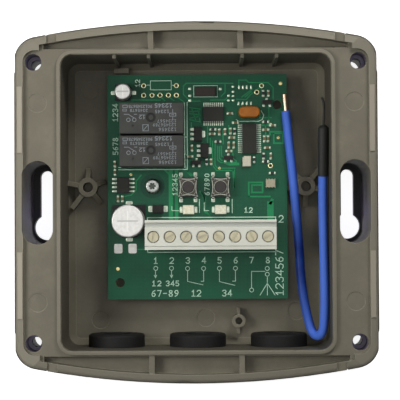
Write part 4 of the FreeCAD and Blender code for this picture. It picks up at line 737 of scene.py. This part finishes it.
TRACES = (
    ((11.3, 32.2), (-3.3, 32.3), (-4.2, 31.4), (-4.2, 28.8), (-2.2, 26.7), (1.0, 26.7)),
    ((13.1, 31.3), (13.1, 33.2), (15.4, 33.2), (16.2, 32.4), (22.2, 32.4), (23.8, 30.8), (23.8, 27.1)),
    ((12.3, 27.2), (15.4, 27.1), (16.6, 28.5), (20.1, 31.2)),
    ((-20.5, 27.2), (-11.5, 27.1)),
    ((-11.3, 28.1), (-10.0, 26.9)),
    ((-8.8, 28.1), (-7.2, 26.9)),
    ((-6.3, 28.1), (-4.1, 26.5)),
    ((-1.6, 24.3), (-0.4, 20.6)),
    ((0.5, 23.5), (0.9, 20.6)),
    ((-1.8, 20.0), (-1.8, 18.1)),
    ((3.3, 19.2), (3.2, 13.7)),
    ((8.1, 17.6), (8.1, 13.3)),
    ((5.6, 13.3), (5.5, 6.7), (6.3, 5.7), (11.8, 5.7)),
    ((6.3, 12.6), (6.3, 8.3), (7.3, 7.5), (12.2, 7.5)),
    ((22.4, 24.6), (22.4, 19.1), (20.0, 19.1)),
    ((-3.6, 5.2), (-1.5, 3.6)),
    ((1.2, -1.8), (2.2, -3.2), (2.1, -7.7), (4.6, -10.2)),
    ((11.6, 5.1), (11.5, -0.7)),
    ((-17.5, 3.7), (-19.1, 1.8), (-19.1, -0.9), (-20.6, -2.5), (-22.6, -2.9)),
    ((-18.8, -19.5), (-16.0, -19.5)),
    ((4.8, 14.2), (4.8, 6.6), (6.0, 5.0), (11.3, 5.0)),
    ((6.9, 12.4), (6.9, 8.8), (7.6, 8.1), (9.2, 8.1)),
    ((7.5, 12.6), (7.5, 9.6), (8.2, 9.0)),
    ((4.1, 15.0), (4.1, 12.6)),
    ((-2.3, 24.7), (0.9, 24.2)),
    ((-2.3, 23.4), (0.7, 23.6)),
    ((-2.3, 22.8), (1.0, 22.3)),
    ((-2.3, 21.4), (0.9, 21.9)),
    ((-2.3, 20.9), (1.0, 20.2)),
    ((8.8, 31.8), (8.8, 29.4), (7.6, 28.2)),
    ((10.3, 28.6), (8.7, 27.0), (4.2, 27.0)),
    ((14.0, 27.9), (17.4, 30.4)),
    ((15.0, 27.9), (17.0, 29.6)),
    ((19.6, 22.6), (19.6, 21.4), (23.2, 21.4)),
    ((21.4, 19.1), (21.4, 14.2)),
    ((11.1, 12.2), (11.1, 8.8), (12.2, 7.9)),
    ((9.9, 19.0), (9.9, 16.6)),
)
BRIGHT_TRACES = (
    ((22.7, 16.0), (22.7, 17.0), (27.0, 16.9)),
    ((24.3, 16.6), (26.8, 16.5), (26.8, 13.4), (23.9, 13.4), (23.9, 16.0)),
    ((16.0, -3.2), (16.0, 1.2), (20.3, 1.2), (20.3, -1.9), (17.0, -1.9), (17.0, 0.4), (19.9, 0.4)),
    ((16.0, -3.2), (22.6, -3.2)),
    ((0.8, -1.5), (2.3, -3.4), (2.3, -7.3), (4.3, -10.0)),
    ((11.2, 5.1), (11.4, -0.3)),
    ((-3.3, 6.0), (-3.3, 4.8), (-1.9, 3.4)),
    ((-10.1, 5.2), (-8.5, 3.7)),
)
TRACE_WIDTH = 0.36
BRIGHT_TRACE_WIDTH = 0.5
WIDE_TRACES = (
    (((-8.3, 5.0), (-8.3, -10.4)), 1.3),
    (((-6.5, 5.0), (-6.5, -10.4)), 1.0),
    (((8.6, 7.5), (10.0, 6.9), (12.8, 7.0)), 0.8),
    (((22.7, -5.4), (22.7, -9.9)), 2.0),
    (((22.7, -5.4), (23.3, -4.2)), 0.9),
)
trace_mesh = bmesh.new()
for points in TRACES:
    ribbon(trace_mesh, points, TRACE_WIDTH, high=TRACE_HIGH)
for points in BRIGHT_TRACES:
    ribbon(trace_mesh, points, BRIGHT_TRACE_WIDTH, high=TRACE_HIGH)
for points, width in WIDE_TRACES:
    ribbon(trace_mesh, points, width, high=TRACE_HIGH * 0.8)
trace_green = moulded("trace_mask", shade(40, 138, 88), 0.34, 0.12, 260, 2200, 0.000004, worn=0.02)
add_piece("board_traces", trace_mesh, trace_green)


# White print on the board


SIGN_ASPECT = 0.8
DIGITS = {
    "0": (((0.5, 0.0), (0.15, 0.2), (0.15, 0.8), (0.5, 1.0), (0.85, 0.8), (0.85, 0.2), (0.5, 0.0)),),
    "1": (((0.2, 0.75), (0.5, 1.0), (0.5, 0.0)), ((0.15, 0.0), (0.85, 0.0))),
    "2": (((0.1, 0.8), (0.3, 1.0), (0.7, 1.0), (0.9, 0.8), (0.9, 0.6), (0.1, 0.0), (0.9, 0.0)),),
    "3": (
        ((0.1, 0.85), (0.35, 1.0), (0.7, 1.0), (0.9, 0.8), (0.7, 0.55), (0.45, 0.52)),
        ((0.7, 0.52), (0.9, 0.28), (0.7, 0.0), (0.3, 0.0), (0.1, 0.15)),
    ),
    "4": (((0.7, 0.0), (0.7, 1.0), (0.1, 0.3), (0.95, 0.3)),),
    "5": (
        ((0.85, 1.0), (0.2, 1.0), (0.15, 0.55), (0.6, 0.6))
        + ((0.9, 0.35), (0.7, 0.0), (0.3, 0.0), (0.1, 0.12)),
    ),
    "6": (
        ((0.8, 1.0), (0.4, 0.85), (0.12, 0.4), (0.25, 0.03))
        + ((0.65, 0.0), (0.88, 0.28), (0.65, 0.55), (0.2, 0.48)),
    ),
    "7": (((0.1, 1.0), (0.9, 1.0), (0.4, 0.0)),),
    "8": (
        ((0.5, 0.55), (0.2, 0.72), (0.25, 0.95), (0.5, 1.0), (0.75, 0.95), (0.8, 0.72), (0.5, 0.55)),
        ((0.5, 0.55), (0.12, 0.3), (0.25, 0.03), (0.5, 0.0), (0.75, 0.03), (0.88, 0.3), (0.5, 0.55)),
    ),
    "9": (
        ((0.2, 0.0), (0.6, 0.15), (0.88, 0.6), (0.75, 0.97))
        + ((0.35, 1.0), (0.12, 0.72), (0.35, 0.45), (0.8, 0.52)),
    ),
    "-": (((0.15, 0.5), (0.85, 0.5)),),
}


def draw_sign(target, sign, centre, high, line, turns=0, base_z=BOARD_TOP):
    """One sign, turned by that many quarter turns to the left."""
    wide = high * SIGN_ASPECT
    for stroke in DIGITS[sign]:
        points = []
        for a, b in stroke:
            du, dv = (a - 0.5) * wide, (b - 0.5) * high
            for _ in range(turns):
                du, dv = -dv, du
            points.append((centre[0] + du, centre[1] + dv))
        ribbon(target, points, line, base_z)


def draw_row(target, signs, start, end, high, line, turns=0, base_z=BOARD_TOP):
    """Signs spaced evenly from the centre of the first to the centre of the last."""
    for i, sign in enumerate(signs):
        share = i / (len(signs) - 1)
        centre = (start[0] + (end[0] - start[0]) * share, start[1] + (end[1] - start[1]) * share)
        draw_sign(target, sign, centre, high, line, turns, base_z)


THIN_LINES = (
    rectangle_points(-14.5, 30.3, -8.0, 33.1),
    ((-15.6, 31.8), (-14.5, 31.8)),
    ((-8.0, 31.7), (-7.0, 31.7)),
    rectangle_points(-1.0, 28.0, 6.4, 31.5),
    ((13.0, 20.3), (19.2, 20.3), (20.4, 20.9), (20.8, 22.2), (20.0, 23.6)),
    ((12.2, 20.9), (13.0, 20.3)),
    ((-8.0, -6.1), (-8.0, -7.4), (-5.9, -7.5)),
    ((2.1, -5.0), (2.1, -7.5), (3.5, -7.5)),
    ((0.6, -4.0), (0.6, -8.1)),
    ((10.8, -4.0), (10.8, -8.3)),
    ((-13.2, -26.1), (-13.2, -28.2)),
    ((-13.6, -27.5), (-13.2, -28.3), (-12.8, -27.5)),
    ((-8.2, -26.1), (-8.2, -28.2)),
    ((-8.6, -27.5), (-8.2, -28.3), (-7.8, -27.5)),
    ((-3.2, -26.1), (-3.2, -29.5), (1.6, -30.6)),
    ((1.8, -26.1), (1.8, -29.5), (1.0, -29.5)),
    ((6.7, -26.2), (6.7, -29.6), (11.5, -30.8)),
    ((11.7, -26.2), (11.7, -29.5), (10.8, -29.5)),
    ((20.9, -26.5), (16.7, -26.5), (16.7, -31.7)),
    ((21.6, -28.0), (21.6, -33.9)),
    ((21.6, -30.2), (19.3, -33.9)),
    ((21.6, -30.2), (24.0, -33.9)),
)
GREEN_WHITE_LINES = (
    ((-3.9, 26.2), (-3.9, 6.1), (-24.5, 6.1)),
    ((-3.1, 26.2), (-3.1, 5.4), (-24.5, 5.4)),
    ((-3.9, 15.5), (-3.1, 15.5)),
    rectangle_points(-15.6, -20.4, 24.3, -9.6),
)
TERMINAL_CIRCLES = (
    ((-13.1, -25.4), (-8.2, -25.4), (-3.2, -25.5), (1.8, -25.5), (6.7, -25.5), (11.7, -25.5))
    + ((21.6, -25.6), (21.6, -27.4), (16.7, -32.3))
)
CIRCLE_R = 0.62
NUMBER_US = (-13.1, -8.1, -3.1, 1.9, 6.8, 11.8, 16.7, 21.8)
NUMBER_V = -23.0
NUMBER_HIGH = 1.75
THIN_LINE = 0.2
BOLD_LINE = 0.3
LABEL_LINE = 0.28
SIDE_LABEL_LINE = 0.26

print_mesh = bmesh.new()
for points in THIN_LINES:
    ribbon(print_mesh, points, THIN_LINE)
for points in GREEN_WHITE_LINES:
    ribbon(print_mesh, points, BOLD_LINE)
for place in TERMINAL_CIRCLES:
    ribbon(print_mesh, circle_points(place, CIRCLE_R), THIN_LINE)
for number, u in enumerate(NUMBER_US, start=1):
    draw_sign(print_mesh, str(number), (u, NUMBER_V), NUMBER_HIGH, LABEL_LINE)
LABEL_ROWS = (
    ("12", (-13.7, -30.1), (-12.0, -30.1), 1.5),
    ("345", (-9.4, -30.1), (-6.4, -30.1), 1.5),
    ("67-89", (-13.8, -33.2), (-6.7, -33.2), 1.8),
    ("12", (-1.4, -33.2), (0.3, -33.2), 1.8),
    ("34", (8.2, -33.2), (9.9, -33.2), 1.8),
    ("12", (15.1, -7.4), (16.6, -7.4), 1.4),
)
for signs, start, end, high in LABEL_ROWS:
    draw_row(print_mesh, signs, start, end, high, LABEL_LINE)
SIDE_ROWS = (
    ("12345", (-7.0, -2.2), (-7.0, 3.5), 1.4),
    ("67890", (3.0, -2.2), (3.0, 3.5), 1.4),
    ("1234", (-25.5, 21.0), (-25.5, 25.4), 1.5),
    ("5678", (-25.5, 10.6), (-25.5, 14.8), 1.5),
    ("12", (-18.5, 31.7), (-18.5, 33.0), 1.3),
    ("1234567", (25.4, -33.2), (25.4, -20.7), 2.3),
)
for signs, start, end, high in SIDE_ROWS:
    draw_row(print_mesh, signs, start, end, high, SIDE_LABEL_LINE, turns=1)
draw_sign(print_mesh, "2", (26.0, -10.2), 2.0, BOLD_LINE)
print_white = moulded(
    "print_white", shade(198, 232, 208), 0.55, 0.2, 900, 3000, variation=0.05, worn=0.02
)
add_piece("board_print", print_mesh, print_white)


# Pale grey marks on the relay covers: counting rows and plain symbols, upside down as the relays are

RELAY_TOP = 20.0
RELAY_ROWS = (
    ("8765432109", (-6.6, 3.6), (0.0, 3.6), 0.8, 0.17),
    ("54321", (1.5, 3.85), (5.9, 3.85), 1.1, 0.26),
    ("8765432", (-6.2, 2.35), (-1.4, 2.35), 0.75, 0.16),
    ("54321", (1.5, 2.0), (5.1, 2.0), 0.85, 0.17),
    ("21", (-3.3, 0.4), (-2.3, 0.4), 1.1, 0.22),
    ("7654321", (2.2, -0.9), (7.3, -0.9), 0.8, 0.15),
    ("987654321", (0.8, -2.1), (7.3, -2.1), 0.8, 0.15),
    ("654321", (2.6, -3.5), (7.3, -3.5), 0.9, 0.17),
)
RELAY_LINES = (
    rectangle_points(5.6, 0.55, 7.5, 1.45),
    ((6.55, 1.45), (6.55, 2.6)),
    ((6.55, 0.55), (6.55, -0.4)),
    ((6.2, 1.0), (6.9, 1.0)),
    rectangle_points(-8.7, 3.3, -7.3, 4.0),
    rectangle_points(-8.7, 2.2, -7.6, 2.8),
    ((-8.3, 1.2), (-7.0, 1.2), (-5.3, 0.1)),
    ((-5.2, 1.2), (-4.4, 1.2)),
    circle_points((-7.0, -0.5), 0.55),
    circle_points((-5.2, -0.5), 0.55),
    rectangle_points(-2.6, -3.9, -0.9, -2.0),
    ((-2.6, -3.9), (-0.9, -2.0)),
)
relay_mesh = bmesh.new()
for centre in RELAY_CENTRES:
    for signs, start, end, high, line in RELAY_ROWS:
        first = (centre[0] + start[0], centre[1] + start[1])
        last = (centre[0] + end[0], centre[1] + end[1])
        draw_row(relay_mesh, signs, first, last, high, line, turns=2, base_z=RELAY_TOP)
    for points in RELAY_LINES:
        moved = [(centre[0] + u, centre[1] + v) for u, v in points]
        ribbon(relay_mesh, moved, THIN_LINE, RELAY_TOP)
print_grey = moulded("print_grey", shade(132, 139, 143), 0.5, 0.2, 900, 3000, variation=0.1, worn=0.02)
add_piece("relay_marks", relay_mesh, print_grey)


# Pads and solder

# solder alone, with no part in it: centres, width, depth and height of each group
LOOSE_SOLDER = (
    (((13.2, 31.0), (14.4, 31.0), (15.6, 31.0), (16.9, 31.0)), 0.6, 1.3, 0.09),
    (((13.0, 25.9), (14.3, 25.9), (15.6, 25.9), (16.9, 25.9)), 0.6, 1.2, 0.09),
    (((11.3, 31.2), (11.3, 29.6), (9.9, 28.4), (11.3, 28.3), (9.9, 26.9), (11.3, 26.9)), 0.8, 0.75, 0.1),
    (((-2.2, 30.6), (-2.2, 28.4), (-2.2, 26.9), (7.3, 30.5)), 0.9, 0.9, 0.1),
)
# each chip's centre, pads on a side, their pitch, reach and size, and if the rows run along v
LEAD_ROWS = (
    ((-23.1, 0.6), 4, 1.27, 2.75, (1.5, 0.62), True),
    ((5.1, 22.6), 10, 0.65, 3.0, (0.36, 1.2), False),
    ((16.3, 14.9), 14, 0.65, 3.0, (1.2, 0.36), True),
)
# pads in twos: the middle between them, the way to each, and their size
PAD_PAIRS = (
    ((-22.9, 29.4), (3.1, 0), (1.6, 1.2)),
    ((-21.3, -10.7), (0, 5.7), (2.1, 1.1)),
    ((-12.3, -6.9), (2.3, 0), (1.5, 1.9)),
    ((-2.8, -7.2), (2.15, 0), (1.2, 1.9)),
    ((7.2, -7.2), (2.15, 0), (1.2, 1.9)),
    ((-5.1, -0.2), (0, 4.0), (1.1, 1.3)),
    ((-0.6, -0.2), (0, 4.0), (1.1, 1.3)),
    ((4.9, -0.2), (0, 4.0), (1.1, 1.3)),
    ((9.4, -0.2), (0, 4.0), (1.1, 1.3)),
)
POWER_PARTS = ((0.3, 16.4), (2.3, 11.2))
THREE_LEG_PARTS = ((9.7, 8.9), (-0.3, 7.5), (21.8, 26.2))
# parts with pads round them: the parts, the way to each pad, and the pads' size
PAD_GROUPS = (
    (POWER_PARTS, ((-1.8, -1.5), (-1.8, 0), (-1.8, 1.5)), (1.3, 0.8)),
    (POWER_PARTS, ((1.6, 0),), (1.2, 2.0)),
    (THREE_LEG_PARTS, ((0.95, -1.0), (-0.95, -1.0), (0, 1.0)), (0.7, 0.8)),
)
BARE_PADS = ((-24.75, -19.2), (-20.3, -19.2))
BARE_PAD_SIZE = (2.6, 3.0)
BARE_PAD_HIGH = 0.12


def flat_pad(target, place, size, high=PAD_HIGH):
    mound(target, place, *size, high, power=8)


pad_mesh = bmesh.new()
for places, width, depth, high in LOOSE_SOLDER:
    for place in places:
        mound(pad_mesh, place, width, depth, high)
for side in (1, -1):
    for centre, count, pitch, reach, size, along_v in LEAD_ROWS:
        for i in range(count):
            step = (side * reach, (i - (count - 1) / 2) * pitch)
            if not along_v:
                step = step[::-1]
            flat_pad(pad_mesh, (centre[0] + step[0], centre[1] + step[1]), size)
    for middle, step, size in PAD_PAIRS:
        flat_pad(pad_mesh, (middle[0] + side * step[0], middle[1] + side * step[1]), size)
for centres, steps, size in PAD_GROUPS:
    for u, v in centres:
        for du, dv in steps:
            flat_pad(pad_mesh, (u + du, v + dv), size)
smooth(add_piece("board_solder", pad_mesh, solder))

bare_mesh = bmesh.new()
for place in BARE_PADS:
    flat_pad(bare_mesh, place, BARE_PAD_SIZE, BARE_PAD_HIGH)
smooth(add_piece("bare_pads", bare_mesh, tinned_pad))

PLATED_HOLES = (
    ((-16.6, 31.6), (-6.4, 31.6), (-16.6, 28.6), (-14.0, 28.6), (-11.5, 28.6))
    + ((-8.9, 28.6), (-6.4, 28.6), (20.2, 31.4), (18.7, 29.4), (22.8, 6.4))
)
PLATED_HOLE_R = 0.5
PLATED_RING_R = 0.76
PLATED_RING_HIGH = 0.04
ring_mesh = bmesh.new()
for place in PLATED_HOLES:
    ring_pad(ring_mesh, place, PLATED_HOLE_R, PLATED_RING_R, PLATED_RING_HIGH)
add_piece("plated_rings", ring_mesh, ring_plate)

# painted highlight: bright lines on the outline and hole rim of each button's cover plate, standing in
# for light on the plate's edges
SWITCH_PLACES = ((-2.85, -0.2), (7.15, -0.2))
SWITCH_PLATE_TOP = 13.05
PLATE_HALF = 2.86
PLATE_SCOOP = 0.5
PLATE_HOLE_R = 1.97
PLATE_RIM_LINE = 0.24
PLATE_HOLE_LINE = 0.18


def scooped_outline(centre, half, scoop):
    """A square's outline whose sides curve inward by scoop."""
    steps = 8
    points = []
    for turns in range(4):
        for i in range(steps):
            along = -1 + 2 * i / steps
            du = half * along
            dv = half - scoop * (1 - along * along)
            for _ in range(turns):
                du, dv = dv, -du
            points.append((centre[0] + du, centre[1] + dv))
    return points + points[:1]


# each button's snap dome, drawn at rest, though the real one flattens under the plunger
DOME_R = 1.95
DOME_RISE = 0.45
DOME_THICK = 0.08
DOME_NOTCH = 0.28
DOME_BASE = 10.65
DOME_SIDES = 48
DOME_ROWS = 8


def dome_ring(target, centre, share, shell_r, crown_z):
    """One ring of a four-legged cap, share of the way from its middle to its edge."""
    ring = []
    for k in range(DOME_SIDES):
        angle = 2 * math.pi * k / DOME_SIDES
        edge = DOME_R - DOME_NOTCH * max(0.0, math.cos(4 * angle))
        reach = share * edge
        z = max(DOME_BASE, crown_z - shell_r + math.sqrt(shell_r**2 - reach**2))
        x = BOARD_X + centre[0] + reach * math.cos(angle)
        y = BOARD_Y + centre[1] + reach * math.sin(angle)
        ring.append(target.verts.new((x, y, z)))
    return ring


def snap_dome(centre):
    target = bmesh.new()
    outer_r = (DOME_R**2 + DOME_RISE**2) / (2 * DOME_RISE)
    outer_top = DOME_BASE + DOME_RISE
    inner_top = outer_top - DOME_THICK
    shares = [i / DOME_ROWS for i in range(1, DOME_ROWS + 1)]
    inner_r = outer_r - DOME_THICK
    rings = [dome_ring(target, centre, share, outer_r, outer_top) for share in shares]
    rings += [dome_ring(target, centre, share, inner_r, inner_top) for share in reversed(shares)]
    for before, after in zip(rings, rings[1:]):
        join_rings(target, before, after)
    for ring, z in ((rings[0], outer_top), (rings[-1], inner_top)):
        middle = target.verts.new((BOARD_X + centre[0], BOARD_Y + centre[1], z))
        for k in range(DOME_SIDES):
            target.faces.new((middle, ring[k], ring[(k + 1) % DOME_SIDES]))
    return target


for number, centre in enumerate(SWITCH_PLACES, start=1):
    dome = add_piece(f"switch_{number}_snap_dome", snap_dome(centre), spring_steel)
    smooth(dome)
    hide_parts(f"switch_{number}_dome")
    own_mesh(dome)

outline_mesh = bmesh.new()
for centre in SWITCH_PLACES:
    rim = scooped_outline(centre, PLATE_HALF, PLATE_SCOOP)
    ribbon(outline_mesh, rim, PLATE_RIM_LINE, SWITCH_PLATE_TOP)
    ribbon(outline_mesh, circle_points(centre, PLATE_HOLE_R), PLATE_HOLE_LINE, SWITCH_PLATE_TOP)
add_piece("button_plate_outlines", outline_mesh, plate_edge_highlight)

GOLD_HIGH = 0.03
GOLD_SPOTS = ((26.1, 32.1), (-24.9, -25.5))
GOLD_SPOT_WIDTH = 1.1
GOLD_RINGS = ((25.3, 15.1), (22.9, 19.3), (6.9, 5.7), (-20.7, 3.9))
GOLD_HOLE_R = 0.15
GOLD_RING_R = 0.42
gold_mesh = bmesh.new()
for place in GOLD_SPOTS:
    mound(gold_mesh, place, GOLD_SPOT_WIDTH, GOLD_SPOT_WIDTH, GOLD_HIGH, power=2)
for place in GOLD_RINGS:
    ring_pad(gold_mesh, place, GOLD_HOLE_R, GOLD_RING_R, GOLD_HIGH)
smooth(add_piece("board_gold_marks", gold_mesh, gold_plate))


# Chip resistors and capacitors with tinned ends and solder fillets

PASSIVES_ACROSS = (
    ((4.9, 17.8), (4.7, 16.4), (6.5, 14.0), (10.3, 22.8))
    + ((10.8, 15.2), (21.9, 12.0), (23.4, 4.1))
)
PASSIVES_ALONG = (
    ((6.9, 17.0), (8.7, 17.1), (10.4, 17.3), (-1.7, 12.0), (17.7, 8.3), (20.7, 9.4), (22.9, 9.4))
    + ((20.9, 14.8), (22.1, 14.8), (20.7, 29.0), (22.3, 29.0), (-24.8, -3.7), (-23.4, -3.7))
)
MORE_ACROSS = (
    ((12.0, 19.9), (21.4, 20.1), (23.6, 19.0), (21.4, 17.6))
    + ((9.9, 11.0), (-2.3, 9.4), (21.3, 7.7))
)
MORE_ALONG = (
    ((11.7, 17.2), (9.8, 12.9), (11.4, 12.9), (2.9, 7.7))
    + ((4.3, 7.7), (-25.7, 7.2), (-25.7, 4.6))
)
PASSIVE_GROUPS = (
    (PASSIVES_ACROSS, False),
    (PASSIVES_ALONG, True),
    (MORE_ACROSS, False),
    (MORE_ALONG, True),
)
PART_LONG = 1.6
PART_WIDE = 0.8
PART_HIGH = 0.5
PART_CAP = 0.3
PART_SUNK = 0.02
CERAMIC_INSET = (0.2, 0.015)
CERAMIC_ROUND = 0.03
CAP_ROUND = 0.05
FOOT_REACH = 0.85
FOOT_SIZE = (0.7, 0.95)
FOOT_HIGH = 0.22


def rounded_box(target, low, high, corner):
    """A box with its edges rounded."""
    made = bmesh.ops.create_cube(target, size=1.0)
    for vert in made["verts"]:
        for axis in range(3):
            vert.co[axis] = low[axis] if vert.co[axis] < 0 else high[axis]
    edges = list({edge for vert in made["verts"] for edge in vert.link_edges})
    bmesh.ops.bevel(target, geom=edges, offset=corner, segments=2, profile=0.6, affect="EDGES")


def add_passive(ceramic, ends, place, along_v):
    """A chip part: its body goes into one mesh, its end caps and solder feet into the other."""

    def turned(pair):
        return pair[::-1] if along_v else pair

    x = BOARD_X + place[0]
    y = BOARD_Y + place[1]
    z = BOARD_TOP + PAD_HIGH
    half = turned((PART_LONG / 2, PART_WIDE / 2))
    inset = turned(CERAMIC_INSET)
    low = (x - half[0] + inset[0], y - half[1] + inset[1], z)
    top = (x + half[0] - inset[0], y + half[1] - inset[1], z + PART_HIGH - PART_SUNK)
    rounded_box(ceramic, low, top, CERAMIC_ROUND)
    reach = turned((PART_CAP / 2, PART_WIDE / 2))
    cap_step = turned(((PART_LONG - PART_CAP) / 2, 0))
    foot_step = turned((FOOT_REACH, 0))
    for side in (1, -1):
        cap_x = x + side * cap_step[0]
        cap_y = y + side * cap_step[1]
        low = (cap_x - reach[0], cap_y - reach[1], z - PART_SUNK)
        top = (cap_x + reach[0], cap_y + reach[1], z + PART_HIGH)
        rounded_box(ends, low, top, CAP_ROUND)
        foot = (place[0] + side * foot_step[0], place[1] + side * foot_step[1])
        mound(ends, foot, *turned(FOOT_SIZE), FOOT_HIGH, power=5)


ceramic_mesh = bmesh.new()
end_mesh = bmesh.new()
resistor_mesh = bmesh.new()
for places, along_v in PASSIVE_GROUPS:
    for place in places:
        add_passive(random.choice((ceramic_mesh, resistor_mesh)), end_mesh, place, along_v)
passive_ceramic = moulded("passive_ceramic", shade(112, 102, 72), 0.4, 0.2, 900, 3000, 0.000004)
passive_dark = moulded("passive_dark", shade(36, 38, 40), 0.35, 0.2, 900, 3000, 0.000004)
tan_parts = add_piece("chip_capacitors", ceramic_mesh, passive_ceramic)
dark_parts = add_piece("chip_resistors", resistor_mesh, passive_dark)
end_parts = smooth(add_piece("chip_part_ends", end_mesh, solder))
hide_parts("chip_passives")
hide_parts("chip_passives")
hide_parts("chip_passives")


# Light, floor and background

FLOOR_SIZE = 3.0
FLOOR_DROP = 0.0002
floor_mesh = bmesh.new()
floor_corners = []
for x_side, y_side in ((-1, -1), (1, -1), (1, 1), (-1, 1)):
    floor_corners.append(floor_mesh.verts.new((x_side * FLOOR_SIZE, y_side * FLOOR_SIZE, 0)))
floor_mesh.faces.new(floor_corners)
floor_data = bpy.data.meshes.new("floor")
floor_mesh.to_mesh(floor_data)
floor_mesh.free()
floor = bpy.data.objects.new("floor", floor_data)
floor.location.z = -FLOOR_DROP
bpy.context.collection.objects.link(floor)

floor_material = bpy.data.materials.new("floor_paper")
floor_material.use_nodes = True
floor_tree = floor_material.node_tree
floor_tree.nodes.clear()
floor_output = floor_tree.nodes.new("ShaderNodeOutputMaterial")
paper = floor_tree.nodes.new("ShaderNodeBsdfDiffuse")
paper.inputs["Color"].default_value = (0.8, 0.8, 0.8, 1)
glow = floor_tree.nodes.new("ShaderNodeEmission")
glow.inputs["Color"].default_value = (1, 1, 1, 1)
glow.inputs["Strength"].default_value = 0.9
both = floor_tree.nodes.new("ShaderNodeAddShader")
choose = floor_tree.nodes.new("ShaderNodeMixShader")
floor_tree.links.new(paper.outputs["BSDF"], both.inputs[0])
floor_tree.links.new(glow.outputs["Emission"], both.inputs[1])
floor_tree.links.new(paper.outputs["BSDF"], choose.inputs[1])
floor_tree.links.new(both.outputs["Shader"], choose.inputs[2])
floor_tree.links.new(choose.outputs["Shader"], floor_output.inputs["Surface"])
floor_data.materials.append(floor_material)


def seen_share(tree):
    """1 for rays that show the background: from the camera, in a reflection or through a clear part."""
    path = tree.nodes.new("ShaderNodeLightPath")
    shown = math_value(tree, "MAXIMUM", path.outputs["Is Camera Ray"], path.outputs["Is Glossy Ray"])
    return math_value(tree, "MAXIMUM", shown, path.outputs["Is Transmission Ray"])


floor_tree.links.new(seen_share(floor_tree), choose.inputs["Fac"])

world = bpy.data.worlds.new("studio")
bpy.context.scene.world = world
world.use_nodes = True
world_tree = world.node_tree
world_tree.nodes.clear()
world_output = world_tree.nodes.new("ShaderNodeOutputWorld")
ambient = world_tree.nodes.new("ShaderNodeBackground")
ambient.inputs["Color"].default_value = (0.96, 0.98, 1.0, 1)
ambient.inputs["Strength"].default_value = 0.08
backdrop = world_tree.nodes.new("ShaderNodeBackground")
backdrop.inputs["Color"].default_value = (1, 1, 1, 1)
backdrop.inputs["Strength"].default_value = 1.0
world_choice = world_tree.nodes.new("ShaderNodeMixShader")
world_tree.links.new(seen_share(world_tree), world_choice.inputs["Fac"])
world_tree.links.new(ambient.outputs["Background"], world_choice.inputs[1])
world_tree.links.new(backdrop.outputs["Background"], world_choice.inputs[2])
world_tree.links.new(world_choice.outputs["Shader"], world_output.inputs["Surface"])


def soft_lamp(name, place, target, size, power, colour=(1, 1, 1)):
    data = bpy.data.lights.new(name, "AREA")
    data.shape = "SQUARE"
    data.size = size
    data.energy = power
    data.color = colour
    lamp = bpy.data.objects.new(name, data)
    lamp.location = place
    lamp.rotation_euler = (Vector(target) - Vector(place)).to_track_quat("-Z", "Y").to_euler()
    bpy.context.collection.objects.link(lamp)
    lamp.visible_camera = False


OBJECT_MIDDLE = (0, 0, 0.02)
WARM = (1.0, 0.99, 0.97)
VIOLET = (0.42, 0.38, 1.0)
BORE_X = 0.0486
BORE_Y = 0.042
POCKET_X = 0.0446
soft_lamp("key", (0.11, 0.2, 0.22), OBJECT_MIDDLE, 0.1, 0.38, WARM)
soft_lamp("left", (-0.17, 0.02, 0.21), OBJECT_MIDDLE, 0.1, 0.29, WARM)
soft_lamp("overhead", (0, 0, 0.7), OBJECT_MIDDLE, 0.3, 0.5)

# sky light that reaches into the screw bores and keyhole pockets
for x_side in (1, -1):
    for y_side in (1, -1):
        bore = (x_side * BORE_X, y_side * BORE_Y)
        soft_lamp("bore", (*bore, 0.0295), (*bore, 0.02), 0.002, 0.00012, VIOLET)
    pocket = (x_side * POCKET_X, -0.003, 0.014)
    soft_lamp("pocket", pocket, (x_side * 0.06, -0.005, 0.012), 0.004, 0.0003, VIOLET)

bpy.context.view_layer.update()
